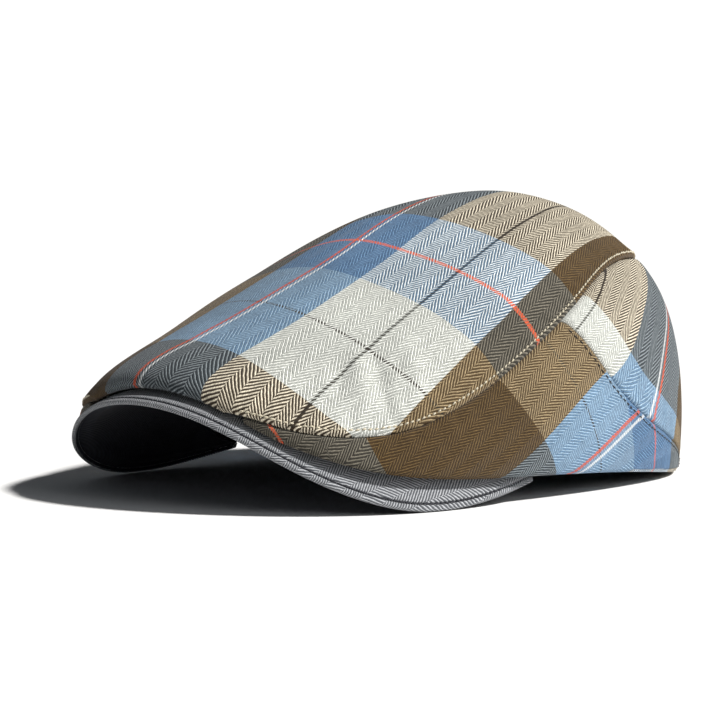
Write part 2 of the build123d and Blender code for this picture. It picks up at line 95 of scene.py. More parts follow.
BACK_SEAM = [(-0.8204, 0.5718), (-0.7579, 0.6131), (-0.6221, 0.6925), (-0.4134, 0.7784), (-0.165, 0.7575),
             (-0.0625, 0.6369), (-0.0052, 0.5867)]
JOIN, CORNER, WEDGE_START = 0.597, 0.786, 0.040


def cubic_w(f):
    g = 1.0 - f
    return np.stack([g ** 3 / 6, (3 * f ** 3 - 6 * f * f + 4) / 6, (-3 * f ** 3 + 3 * f * f + 3 * f + 1) / 6, f ** 3 / 6], -1)


def clamped(t, n):
    t = np.asarray(t, float)
    spans = n - 3
    i = np.clip(np.floor(t * spans).astype(int), 0, spans - 1)
    knots = np.array([0.0] * 3 + [k / spans for k in range(spans + 1)] + [1.0] * 3)
    k = i + 3
    vals = [np.ones_like(t)]
    for d in range(1, 4):
        new = [np.zeros_like(t) for _ in range(d + 1)]
        for j in range(d):
            a = knots[k - d + 1 + j]
            b = knots[k + 1 + j]
            w = (t - a) / (b - a)
            new[j] = new[j] + vals[j] * (1 - w)
            new[j + 1] = new[j + 1] + vals[j] * w
        vals = new
    return i, np.stack(vals, -1)


def _ring(rows, extra=None):
    net = []
    for k in range(16):
        r = rows[k] if k <= 8 else [(-p[0], p[1], p[2]) for p in rows[16 - k]]
        net.append(list(r) + ([extra] if extra else []))
    return np.array(net)


CROWN_NET = _ring(CROWN, APEX)
BAND_NET = _ring(BAND)
BRIM_NET = np.array([BRIM[i - 6] if i >= 6 else [(-p[0], p[1], p[2]) for p in BRIM[6 - i]] for i in range(13)])
OFFSET = np.array([0.0, Y_SHIFT, Z_SHIFT])


def crown_st(s, t):
    s, t = np.broadcast_arrays(np.asarray(s, float) % 16.0, np.asarray(t, float))
    i = np.floor(s).astype(int)
    w = cubic_w(s - i)
    j0, v = clamped(t, 6)
    out = np.zeros(s.shape + (3,))
    for a in range(4):
        for b in range(4):
            out += (w[..., a] * v[..., b])[..., None] * CROWN_NET[(i - 1 + a) % 16, j0 + b]
    return out + OFFSET


def crown_pq(p, q):
    return crown_st(np.arctan2(q, p) * 8.0 / np.pi, 1.0 - np.hypot(p, q))


def unit(a):
    return a / np.maximum(np.linalg.norm(a, axis=-1, keepdims=True), 1e-12)


def crown_normal(p, q, h=0.004):
    dp = crown_pq(p + h, q) - crown_pq(p - h, q)
    dq = crown_pq(p, q + h) - crown_pq(p, q - h)
    n = unit(np.cross(dp, dq))
    c = crown_pq(p, q) - np.array([0.0, 20.0, 40.0])
    return n * np.where((n * c).sum(-1, keepdims=True) < 0, -1.0, 1.0)


def spline(points, u):
    pts = np.array(points, float)
    i, w = clamped(u, len(pts))
    return sum(w[..., a, None] * pts[i + a] for a in range(4))


def seam(u):
    u = np.asarray(u, float)
    c = spline(CROWN_SEAM, np.where(u <= 1.0, u, 2.0 - u))
    return np.stack([c[..., 0], np.where(u <= 1.0, 1.0, -1.0) * c[..., 1]], -1)


def back_seam(u):
    return spline(BACK_SEAM, u)


def shift(curve, side, amount=SEAM_HALF_GAP):
    def moved(u):
        u = np.asarray(u, float)
        d = curve(u + 0.002) - curve(u - 0.002)
        n = np.linalg.norm(d, axis=-1)
        return curve(u) + side * amount * np.stack([-d[..., 1] / n, d[..., 0] / n], -1)
    return moved


def coons(c0, c1, d0, d1, u, v):
    z = np.zeros(())
    o = np.ones(())
    p00, p10, p01, p11 = c0(z), c0(o), c1(z), c1(o)
    U, V = np.asarray(u, float)[..., None], np.asarray(v, float)[..., None]
    return ((1 - V) * c0(u) + V * c1(u) + (1 - U) * d0(v) + U * d1(v)
            - (1 - U) * (1 - V) * p00 - U * (1 - V) * p10 - (1 - U) * V * p01 - U * V * p11)


def edge_pq(s):
    a = np.asarray(s, float) * np.pi / 8.0
    return np.stack([np.cos(a), np.sin(a)], -1)


TOP_SIDE, LOW_SIDE = shift(seam, 1), shift(seam, -1)
BACK_LEFT, BACK_REAR = shift(back_seam, 1), shift(back_seam, -1)


def region_top(u, v):
    return coons(lambda a: edge_pq(-S_TIP + 2 * S_TIP * np.asarray(a)),
                 lambda a: TOP_SIDE(2 - CORNER - a * (2 - 2 * CORNER)),
                 lambda a: TOP_SIDE(2 - a * CORNER),
                 lambda a: TOP_SIDE(a * CORNER), u, v)


def station(c):
    return np.arctan2(c[..., 1], c[..., 0]) * 8.0 / np.pi


def seam_above(a):
    return LOW_SIDE(WEDGE_START + (JOIN - 0.0012 - WEDGE_START) * a)


def edge_below(a):
    a = np.asarray(a, float)
    s = station(seam_above(a))
    return edge_pq(s + (S_BACK - 0.003 - station(seam_above(np.ones(())))) * a * a)


def polar(c):
    return np.stack([station(c), np.hypot(c[..., 0], c[..., 1])], -1)


def region_left(u, v):
    def wedge_end(w):
        z = np.zeros(())
        p, q = polar(edge_below(z)), polar(seam_above(z))
        return p + (q - p) * np.asarray(w, float)[..., None]
    sr = coons(lambda a: polar(edge_below(a)), lambda a: polar(seam_above(a)), wedge_end, lambda w: polar(BACK_LEFT(w)), u, v)
    r = np.minimum(sr[..., 1], 1.0)
    return np.stack([r * np.cos(sr[..., 0] * np.pi / 8), r * np.sin(sr[..., 0] * np.pi / 8)], -1)


def mirror_q(curve):
    return lambda u: curve(u) * np.array([1.0, -1.0])


def region_back(u, v):
    return coons(lambda a: edge_pq(S_BACK + 0.003 + (16 - 2 * S_BACK - 0.006) * np.asarray(a)),
                 lambda a: LOW_SIDE(JOIN + (2 - 2 * JOIN) * a), BACK_REAR, mirror_q(BACK_REAR), u, v)


LINING_R = [(0, 0.560), (1, 0.585), (2, 0.680), (3, 0.840), (4, 0.930), (5, 0.945), (6, 0.950), (7, 0.950), (8, 0.950)]


def brim_uv(u, v):
    u, v = np.broadcast_arrays(np.asarray(u, float), np.asarray(v, float))
    i0, w = clamped(u, 13)
    g = 1.0 - v
    c = np.stack([g ** 3, 3 * g * g * v, 3 * g * v * v, v ** 3], -1)
    out = np.zeros(u.shape + (3,))
    for a in range(4):
        for b in range(4):
            out += (w[..., a] * c[..., b])[..., None] * BRIM_NET[i0 + a, b]
    return out + OFFSET


def brim_normal(u, v, h=0.002):
    du = brim_uv(u + h, v) - brim_uv(u - h, v)
    dv = brim_uv(u, v + h) - brim_uv(u, v - h)
    n = unit(np.cross(du, dv))
    uu = np.broadcast_to(np.asarray(u, float), n.shape[:-1])
    flip = np.where(np.abs(uu - 0.5) < 0.4, n[..., 2] < 0, n[..., 0] * (uu - 0.5) < 0)
    return n * np.where(flip, -1.0, 1.0)[..., None]


def band_sv(s, v):
    s, v = np.broadcast_arrays(np.asarray(s, float) % 16.0, np.asarray(v, float))
    i = np.floor(s).astype(int)
    w = cubic_w(s - i)
    out = np.zeros(s.shape + (3,))
    for a in range(4):
        row = BAND_NET[(i - 1 + a) % 16]
        out += w[..., a, None] * (row[..., 0, :] * (1 - v)[..., None] + row[..., 1, :] * v[..., None])
    return out + OFFSET


def band_normal(s, v, h=0.01):
    ds = band_sv(np.asarray(s) + h, v) - band_sv(np.asarray(s) - h, v)
    dv = band_sv(s, np.asarray(v) + h) - band_sv(s, np.asarray(v) - h)
    n = unit(np.cross(ds, dv))
    c = band_sv(s, v) - np.array([0.0, 30.0, 0.0])
    dot = n[..., 0] * c[..., 0] + n[..., 1] * c[..., 1]
    return n * np.where(dot < 0, -1.0, 1.0)[..., None]


def lining_edge(s):
    s = np.abs(np.asarray(s, float)) % 16.0
    s = np.where(s > 8, 16 - s, s)
    i = np.minimum(s.astype(int), 7)
    r = np.array([x[1] for x in LINING_R])
    p0 = np.where(i > 0, r[np.maximum(i - 1, 0)], r[1])
    p1, p2 = r[i], r[i + 1]
    p3 = np.where(i + 2 <= 8, r[np.minimum(i + 2, 8)], r[7])
    f = s - i
    return 0.5 * (2 * p1 + (p2 - p0) * f + (2 * p0 - 5 * p1 + 4 * p2 - p3) * f * f + (3 * p1 - p0 - 3 * p2 + p3) * f ** 3)


def limited(pq):
    s = station(pq)
    r = np.hypot(pq[..., 0], pq[..., 1])
    r = r * (1.0 - (1.0 - lining_edge(s)) * r)
    return np.stack([r * np.cos(s * np.pi / 8), r * np.sin(s * np.pi / 8)], -1)


def lining_seam(a):
    a = np.asarray(a, float)
    f, b = edge_pq(1.15), edge_pq(6.95)
    return np.stack([f[0] * (1 - a) + b[0] * a, f[1] * (1 - a) + b[1] * a + 0.10 * np.sin(np.pi * a)], -1)


def region_lining_middle(u, v):
    return coons(lambda a: edge_pq(-1.15 + 2.30 * np.asarray(a)), lambda a: edge_pq(9.05 - 2.10 * np.asarray(a)),
                 lambda a: lining_seam(a) * np.array([1.0, -1.0]) + np.array([0.0, 0.0016]),
                 lambda a: lining_seam(a) - np.array([0.0, 0.0016]), u, v)


def region_lining_left(u, v):
    c = lining_seam(0.035 + 0.93 * np.asarray(u, float))
    e = edge_pq(station(c))
    w = np.asarray(v, float)[..., None]
    return e * (1 - w) + (c + np.array([0.0, 0.0016])) * w


def rim_inset(u, strip=0.9):
    """v at which the brim's upper face is strip mm in from the rim."""
    u = np.asarray(u, float)
    vs = np.linspace(0.0, 0.45, 91)
    p = brim_uv(u[..., None], vs)
    d = np.concatenate([np.zeros(u.shape + (1,)), np.cumsum(np.linalg.norm(np.diff(p, axis=-2), axis=-1), -1)], -1)
    out = np.empty(u.shape)
    for k in np.ndindex(u.shape):
        out[k] = np.interp(strip, d[k], vs)
    return out


# ---- how the cloth lies on the crown: across (warp) and along (weft) in millimetres -----------------
TOP_FIT = dict(n=8, lo=(-0.46175, -0.77129), hi=(1.00909, 0.77129),
    cu=[-120.3, -71.2, -23.2, 22.7, 62.6, 91.0, 106.6, 114.5, 120.2, -124.4, -85.6, -42.0, 9.0, 58.1, 90.6, 102.7, 106.2, 111.5, -124.2, -96.6, -61.9, -15.1, 34.8, 70.5, 86.0, 93.0, 103.2, -115.9, -96.7, -74.3, -44.0, -7.1, 28.3, 54.7, 74.3, 93.7, -101.6, -83.4, -67.0, -51.2, -30.5, -1.3, 31.3, 59.5, 82.1, -88.7, -66.3, -45.6, -29.4, -15.2, 4.0, 29.7, 53.9, 70.6, -82.3, -58.4, -31.8, -6.9, 9.4, 19.6, 32.8, 49.5, 62.3, -81.5, -58.7, -30.9, -2.1, 15.1, 19.3, 25.0, 40.0, 56.8, -82.1, -57.2, -28.1, 0.6, 15.5, 15.2, 16.5, 30.8, 52.1],
    cv=[203.2, 212.0, 216.4, 209.8, 190.0, 164.1, 144.3, 136.2, 134.8, 156.3, 177.6, 194.6, 195.1, 172.3, 138.1, 115.4, 111.5, 114.7, 111.4, 139.2, 163.7, 170.3, 148.6, 112.6, 90.2, 88.6, 91.0, 70.7, 97.2, 122.5, 134.2, 120.8, 92.4, 73.4, 68.7, 62.1, 35.1, 55.7, 77.3, 91.9, 89.1, 72.7, 58.3, 48.2, 31.1, 4.2, 18.3, 34.3, 48.0, 51.5, 44.6, 35.1, 24.1, 4.5, -21.6, -12.1, -0.8, 10.0, 15.0, 13.1, 8.4, 1.0, -13.4, -40.8, -32.4, -23.3, -15.0, -10.5, -10.4, -12.5, -16.7, -25.1, -54.8, -43.6, -33.8, -26.5, -22.7, -22.5, -25.3, -29.9, -35.4])
LEFT_FIT = dict(n=5, lo=(-0.83016, 0.43007), hi=(0.90345, 1.00998),
    cu=[24.2, 35.8, 47.2, 56.8, 65.0, 77.0, -9.3, 11.6, 30.4, 39.6, 42.0, 50.3, -40.2, -18.3, 1.2, 11.5, 15.3, 23.0, -67.6, -56.5, -44.0, -30.5, -17.4, -4.3, -83.6, -78.9, -69.1, -53.7, -37.9, -25.3, -85.3, -72.3, -55.8, -43.7, -38.7, -38.4],
    cv=[139.3, 124.7, 113.5, 106.8, 106.0, 110.4, 116.9, 109.7, 96.3, 77.1, 61.5, 58.4, 76.0, 75.1, 63.4, 39.8, 16.5, 8.2, 10.1, 10.2, 3.9, -9.2, -26.3, -37.0, -56.0, -56.3, -56.0, -52.5, -56.8, -69.4, -86.5, -89.2, -93.6, -86.1, -81.5, -91.0])
REAR_FIT = dict(n=5, lo=(-1.00837, -0.77419), hi=(0.00408, 0.77419),
    cu=[133.4, 113.5, 100.0, 97.2, 103.7, 113.9, 108.3, 80.5, 65.3, 68.5, 76.1, 70.4, 74.2, 44.3, 32.9, 41.7, 49.3, 30.2, 37.5, 14.6, 7.9, 14.4, 23.6, 13.0, 7.1, -10.4, -23.7, -32.2, -18.9, 5.1, -17.4, -37.1, -65.7, -88.8, -66.0, -3.1],
    cv=[-170.0, -133.8, -96.4, -58.2, -16.8, 29.4, -173.1, -134.4, -99.0, -64.7, -20.5, 38.0, -182.7, -140.3, -103.1, -69.1, -27.4, 28.2, -197.9, -151.9, -107.6, -67.8, -34.7, -4.2, -217.7, -172.1, -116.5, -58.6, -20.1, -4.6, -242.9, -199.3, -129.8, -45.7, 17.2, 47.0])


def bern(x, n):
    k = np.arange(n + 1)
    c = np.array([math.comb(n, int(i)) for i in k], float)
    x = np.asarray(x, float)[..., None]
    return c * x ** k * (1 - x) ** (n - k)


def cloth_uv(fit, pq):
    n = fit["n"]
    x = (pq - np.array(fit["lo"])) / (np.array(fit["hi"]) - np.array(fit["lo"]))
    k = (bern(x[..., 0], n)[..., :, None] * bern(x[..., 1], n)[..., None, :]).reshape(pq.shape[:-1] + (-1,))
    return np.stack([k @ np.array(fit["cu"]), k @ np.array(fit["cv"])], -1)


# ---- seams as lines in space --------------------------------------------------------------------------
class Line:
    """A curve as close points, with how far along it each is."""

    def __init__(self, pts):
        self.p = pts
        self.s = np.concatenate([[0.0], np.cumsum(np.linalg.norm(np.diff(pts, axis=0), axis=1))])
        self.tree = None

    def near(self, q):
        """Distance of each point to the line, and the place along it."""
        if self.tree is None:
            self.tree = KDTree(len(self.p))
            for i, c in enumerate(self.p.tolist()):
                self.tree.insert(c, i)
            self.tree.balance()
        flat = q.reshape(-1, 3)
        find = self.tree.find
        got = [find(c) for c in flat.tolist()]
        d = np.array([g[2] for g in got])
        s = self.s[np.array([g[1] for g in got])]
        return d.reshape(q.shape[:-1]), s.reshape(q.shape[:-1])


def on_crown(pq):
    return crown_pq(pq[..., 0], pq[..., 1])


def normals_at(pq):
    return crown_normal(pq[..., 0], pq[..., 1])


T = np.linspace(0.0, 2.0, 1601)
SEAM = Line(on_crown(seam(T)))
STITCH = shift(seam, 1, 0.0155)
STITCH_LINE = Line(on_crown(STITCH(np.linspace(0.03, 1.97, 1601))))
B = np.linspace(0.0, 1.0, 501)
BACK_L = Line(on_crown(back_seam(B)))
BACK_R = Line(BACK_L.p * np.array([-1.0, 1.0, 1.0]))
HEM = Line(crown_st(np.linspace(0.0, 16.0, 1601), 0.0))


def gauss(d, w):
    return np.exp(-(d / w) ** 2)


def uneven(p):
    """Slow, slight unevenness of a cloth that stands by itself."""
    x, y, z = p[..., 0], p[..., 1], p[..., 2]
    return (0.30 * np.sin(x / 19.0 + 1.3) * np.sin(y / 27.0 + 0.4) + 0.22 * np.sin(y / 13.0 + z / 17.0 + 2.1)
            + 0.16 * np.sin(x / 9.0 - z / 12.0) * np.sin(y / 11.0 + 1.0))


def puckers(d, s, wave=8.5, amp=0.40, reach=7.0):
    return amp * np.exp(-d / reach) * (1 - gauss(d, 2.0)) * np.sin(2 * np.pi * s / wave + 1.1 * np.sin(s / 13.0) + 0.7 * np.sin(s / 29.0))


def hem_fade(p):
    d, _ = HEM.near(p)
    return d


FOLDS = [       # long soft folds: (start, end, half width, height)
    ((60.5, -68.5, 58.5), (80.5, -79.5, 35.5), 3.4, -1.25),
    ((57.0, -82.0, 56.0), (68.5, -93.5, 40.5), 3.2, -0.95),
    ((58.0, -75.0, 58.5), (75.5, -86.0, 38.0), 3.0, 0.75),
    ((68.0, -57.0, 60.0), (84.0, -66.0, 38.0), 3.6, 0.80),
    ((72.0, -38.0, 67.0), (82.0, -10.0, 70.0), 4.2, -0.95),
    ((66.0, -34.0, 74.0), (78.0, -2.0, 77.0), 4.0, 0.60),
    ((80.0, 2.0, 74.0), (88.0, 24.0, 66.0), 4.0, -0.60),
    ((-60.5, -66.5, 58.5), (-78.5, -78.5, 37.5), 3.6, -0.95),
    ((-74.0, -40.0, 66.0), (-82.0, -8.0, 70.0), 4.2, -0.70),
    ((-30.0, -100.0, 58.0), (10.0, -104.0, 57.0), 5.0, -0.50),
    ((88.0, 60.0, 30.0), (70.0, 104.0, 36.0), 5.0, -0.60),
    ((-88.0, 56.0, 34.0), (-66.0, 106.0, 30.0), 5.0, -0.70),
]


def folds(p):
    out = np.zeros(p.shape[:-1])
    for a, b, w, h in FOLDS:
        a, b = np.array(a), np.array(b)
        t = np.clip(((p - a) @ (b - a)) / ((b - a) @ (b - a)), 0, 1)
        d = np.linalg.norm(p - (a + t[..., None] * (b - a)), axis=-1)
        out += h * gauss(d, w) * np.sin(np.pi * np.clip(t, 0.02, 0.98)) ** 0.5
    return out


def lift_top(p):
    """How far the top piece's cloth stands off the smooth crown."""
    d, s = SEAM.near(p)
    e, _ = STITCH_LINE.near(p)
    dh = hem_fade(p)
    quiet = 1 - gauss(dh, 6.0)
    return (-1.15 * gauss(d, 0.6) + 0.32 * gauss(d - 1.7, 2.0) + 0.18 * gauss(np.maximum(d - 3.5, 0), 3.0)
            - 0.38 * gauss(e, 0.55) + puckers(d, s) * quiet + uneven(p) * quiet + folds(p)
            - 0.9 * gauss(dh, 0.9))


def lift_side(p):
    d, s = SEAM.near(p)
    dl, sl = BACK_L.near(p)
    dr, sr = BACK_R.near(p)
    dh = hem_fade(p)
    db, sb = np.minimum(dl, dr), np.where(dl < dr, sl, sr)
    quiet = 1 - gauss(dh, 6.0)
    return (-1.3 * gauss(d, 0.8) - 0.25 * gauss(d, 3.5) - 0.75 * gauss(db, 0.55) + 0.10 * gauss(db - 2.2, 2.0)
            + (puckers(d, s, 9.5, 0.22) + puckers(db, sb, 8.0, 0.25)) * quiet + uneven(p) * quiet + folds(p)
            - 0.7 * gauss(dh, 1.0))


# ---- meshes ------------------------------------------------------------------------------------------------
def link(name, verts, faces, uvs=None, mat=None):
    me = bpy.data.meshes.new(name)
    verts = np.array(verts, float)
    verts[:, 2] = np.maximum(verts[:, 2], 0.02)      # it stands on the floor
    me.from_pydata((verts * MM).tolist(), [], faces)
    if uvs is not None:
        layer = me.uv_layers.new(name="cloth")
        idx = np.empty(len(me.loops), dtype=np.int32)
        me.loops.foreach_get("vertex_index", idx)
        layer.data.foreach_set("uv", np.asarray(uvs, dtype=np.float32)[idx].ravel())
    me.polygons.foreach_set("use_smooth", [True] * len(me.polygons))
    me.update()
    me.validate()
    ob = bpy.data.objects.new(name, me)
    bpy.context.scene.collection.objects.link(ob)
    if mat:
        me.materials.append(mat)
    return ob


def grid(nu, nv, u0=0.0, u1=1.0, v0=0.0, v1=1.0):
    return np.meshgrid(np.linspace(u0, u1, nu), np.linspace(v0, v1, nv), indexing="ij")


def sheet_mesh(name, P, N, thick, uv, mat, bulge=(0.0, 0.0, 0.0, 0.0), rings=3):
    """A closed sheet of cloth: P is its outer face on a grid, N the way out, thick its thickness.
    bulge rounds the four edges (u=0, u=1, v=0, v=1) outwards by so many mm."""
    nu, nv = P.shape[:2]
    th = np.broadcast_to(np.asarray(thick, float), (nu, nv))
    Q = P - N * th[..., None]
    idx = np.arange(nu * nv).reshape(nu, nv)
    du, dv = P[nu // 2 + 1, nv // 2] - P[nu // 2, nv // 2], P[nu // 2, nv // 2 + 1] - P[nu // 2, nv // 2]
    flip = np.dot(np.cross(du, dv), N[nu // 2, nv // 2]) < 0
    quads = np.stack([idx[:-1, :-1], idx[1:, :-1], idx[1:, 1:], idx[:-1, 1:]], -1).reshape(-1, 4)
    outer = quads[:, ::-1] if flip else quads
    inner = (quads if flip else quads[:, ::-1]) + nu * nv
    loop = [(i, 0) for i in range(nu - 1)] + [(nu - 1, j) for j in range(nv - 1)] + [(i, nv - 1) for i in range(nu - 1, 0, -1)] + [(0, j) for j in range(nv - 1, 0, -1)]
    li = np.array(loop)
    bi = np.zeros(len(loop))
    out = np.zeros((len(loop), 3))
    for k, (i, j) in enumerate(loop):
        o = np.zeros(3)
        b = []
        if i == 0:
            o += unit(P[0, j] - P[1, j]); b.append(bulge[0])
        if i == nu - 1:
            o += unit(P[-1, j] - P[-2, j]); b.append(bulge[1])
        if j == 0:
            o += unit(P[i, 0] - P[i, 1]); b.append(bulge[2])
        if j == nv - 1:
            o += unit(P[i, -1] - P[i, -2]); b.append(bulge[3])
        out[k], bi[k] = o, min(b) if len(b) > 1 else b[0]
    Nl = N[li[:, 0], li[:, 1]]
    out = unit(out - (out * Nl).sum(-1, keepdims=True) * Nl)
    Pl, tl = P[li[:, 0], li[:, 1]], th[li[:, 0], li[:, 1]]
    C = Pl - Nl * (tl / 2)[:, None]
    verts, uvs = [P.reshape(-1, 3), Q.reshape(-1, 3)], [uv.reshape(-1, 2)] * 2
    base = 2 * nu * nv
    chain = [idx[li[:, 0], li[:, 1]]]
    for r in range(1, rings + 1):
        a = math.pi * r / (rings + 1)
        verts.append(C + Nl * (math.cos(a) * tl / 2)[:, None] + out * (math.sin(a) * bi)[:, None])
        uvs.append(uv[li[:, 0], li[:, 1]])
        chain.append(base + np.arange(len(loop)) + (r - 1) * len(loop))
    chain.append(idx[li[:, 0], li[:, 1]] + nu * nv)
    strips = []
    for a, b in zip(chain[:-1], chain[1:]):
        q = np.stack([a, b, np.roll(b, -1), np.roll(a, -1)], -1)
        strips.append(q[:, ::-1] if flip else q)
    faces = np.concatenate([outer, inner] + strips).tolist()
    ob = link(name, np.concatenate(verts), faces, np.concatenate(uvs), mat)
    area = float(np.linalg.norm(np.cross(P[1:, :-1] - P[:-1, :-1], P[:-1, 1:] - P[:-1, :-1]), axis=-1).sum()) * 1e-6
    wid = [float(np.linalg.norm(np.diff(P[:, j], axis=0), axis=-1).sum()) for j in range(0, nv, max(1, nv // 8))]
    lng = [float(np.linalg.norm(np.diff(P[i], axis=0), axis=-1).sum()) for i in range(0, nu, max(1, nu // 8))]
    print("sheet", name, "area m2 %.5f" % area, "u %.0f..%.0f" % (min(wid), max(wid)), "v %.0f..%.0f" % (min(lng), max(lng)), "verts", len(ob.data.vertices))
    return ob


def stitches(name, C, N, pitch, length, radius, lift, mat, sink=0.35, skew=0.0):
    """A row of single stitches: each goes into the cloth at both ends."""
    line = Line(C)
    total = line.s[-1]
    n = int(total // pitch)
    gap = total / n
    k, sides = 7, 7
    t = np.linspace(0.0, 1.0, k)
    s = (np.arange(n) + 0.5)[:, None] * gap + (t - 0.5)[None] * length
    s = np.clip(s, 0, total)
    pos = np.stack([np.interp(s, line.s, C[:, i]) for i in range(3)], -1)
    nor = unit(np.stack([np.interp(s, line.s, N[:, i]) for i in range(3)], -1))
    tan = unit(np.gradient(pos, axis=1))
    side = unit(np.cross(nor, tan))
    wob = np.sin(np.arange(n) * 2.399)[:, None]
    h = lift * np.sin(np.pi * t)[None] ** 0.55 - sink * (1 - np.sin(np.pi * t)[None] ** 0.5) + 0.03 * wob
    pos = pos + nor * h[..., None] + side * (skew * (t - 0.5)[None] + 0.05 * wob)[..., None]
    rad = radius * (0.72 + 0.28 * np.sin(np.pi * t)) * (1 + 0.04 * np.sin(np.arange(n) * 1.7))[:, None]
    ang = np.arange(sides) * 2 * np.pi / sides
    ring = (side[:, :, None, :] * np.cos(ang)[None, None, :, None] + nor[:, :, None, :] * np.sin(ang)[None, None, :, None] * 0.85)
    verts = (pos[:, :, None, :] + ring * rad[:, :, None, None]).reshape(-1, 3)
    ids = np.arange(n * k * sides).reshape(n, k, sides)
    a, b = ids[:, :-1], ids[:, 1:]
    faces = np.stack([a, np.roll(a, -1, 2), np.roll(b, -1, 2), b], -1).reshape(-1, 4).tolist()
    caps = []
    for q in range(n):
        caps.append(ids[q, 0, ::-1].tolist())
        caps.append(ids[q, -1].tolist())
    uv = np.stack([np.broadcast_to(ang[None, None], (n, k, sides)), np.broadcast_to(s[:, :, None], (n, k, sides))], -1).reshape(-1, 2)
    return link(name, verts, faces + caps, uv, mat)


# ---- materials ---------------------------------------------------------------------------------------------
def lin(r, g, b):
    f = lambda c: c / 12.92 if c <= 0.04045 else ((c + 0.055) / 1.055) ** 2.4
    return (f(r / 255.0), f(g / 255.0), f(b / 255.0), 1.0)


class Nodes:
    """Small helper for writing a material's nodes."""

    def __init__(self, name):
        self.mat = bpy.data.materials.new(name)
        self.mat.use_nodes = True
        self.nt = self.mat.node_tree
        self.bsdf = next(n for n in self.nt.nodes if n.type == "BSDF_PRINCIPLED")

    def put(self, socket, value):
        if isinstance(value, bpy.types.NodeSocket):
            self.nt.links.new(value, socket)
        else:
            socket.default_value = value

    def m(self, op, a, b=None, c=None):
        n = self.nt.nodes.new("ShaderNodeMath")
        n.operation = op
        for i, x in enumerate((a, b, c)):
            if x is not None:
                self.put(n.inputs[i], x)
        return n.outputs[0]

    def smooth(self, x, lo, hi, out0=0.0, out1=1.0):
        n = self.nt.nodes.new("ShaderNodeMapRange")
        n.interpolation_type = "SMOOTHSTEP"
        for key, val in (("Value", x), ("From Min", lo), ("From Max", hi), ("To Min", out0), ("To Max", out1)):
            self.put(n.inputs[key], val)
        return n.outputs[0]

    def mix(self, fac, a, b, blend="MIX"):
        n = self.nt.nodes.new("ShaderNodeMix")
        n.data_type = "RGBA"
        n.blend_type = blend
        self.put(n.inputs[0], fac)
        self.put(n.inputs[6], a)
        self.put(n.inputs[7], b)
        return n.outputs[2]

    def ramp(self, fac, stops, step=True):
        n = self.nt.nodes.new("ShaderNodeValToRGB")
        n.color_ramp.interpolation = "CONSTANT" if step else "LINEAR"
        el = n.color_ramp.elements
        while len(el) < len(stops):
            el.new(0.5)
        for e, (p, c) in zip(el, stops):
            e.position, e.color = p, c
        self.put(n.inputs[0], fac)
        return n.outputs[0]

    def noise(self, vec, scale, detail=2.0, rough=0.5):
        n = self.nt.nodes.new("ShaderNodeTexNoise")
        n.inputs["Scale"].default_value = scale
        n.inputs["Detail"].default_value = detail
        n.inputs["Roughness"].default_value = rough
        self.put(n.inputs["Vector"], vec)
        return n.outputs[0]

    def vec(self, x, y, z=0.0):
        n = self.nt.nodes.new("ShaderNodeCombineXYZ")
        for i, v in enumerate((x, y, z)):
            self.put(n.inputs[i], v)
        return n.outputs[0]

    def uv(self, name="cloth"):
        n = self.nt.nodes.new("ShaderNodeUVMap")
        n.uv_map = name
        s = self.nt.nodes.new("ShaderNodeSeparateXYZ")
        self.nt.links.new(n.outputs[0], s.inputs[0])
        return s.outputs[0], s.outputs[1]

    def place(self):
        n = self.nt.nodes.new("ShaderNodeTexCoord")
        return n.outputs["Object"]

    def bump(self, height, distance, strength=1.0, normal=None):
        n = self.nt.nodes.new("ShaderNodeBump")
        n.inputs["Strength"].default_value = strength
        n.inputs["Distance"].default_value = distance
        self.put(n.inputs["Height"], height)
        if normal is not None:
            self.put(n.inputs["Normal"], normal)
        return n.outputs[0]

    def shader(self, color, rough, normal=None, sheen=0.0, sheen_tint=(1, 1, 1, 1), spec=0.3, sheen_rough=0.5, aniso=0.0):
        b = self.bsdf
        self.put(b.inputs["Base Color"], color)
        self.put(b.inputs["Roughness"], rough)
        if normal is not None:
            self.put(b.inputs["Normal"], normal)
        b.inputs["Sheen Weight"].default_value = sheen
        b.inputs["Sheen Tint"].default_value = sheen_tint
        b.inputs["Sheen Roughness"].default_value = sheen_rough
        b.inputs["Specular IOR Level"].default_value = spec
        b.inputs["Anisotropic"].default_value = aniso
        return self.mat


COLUMN = 3.875       # width of a herringbone column
TWILL = 1.72         # one rib of the twill, along the column


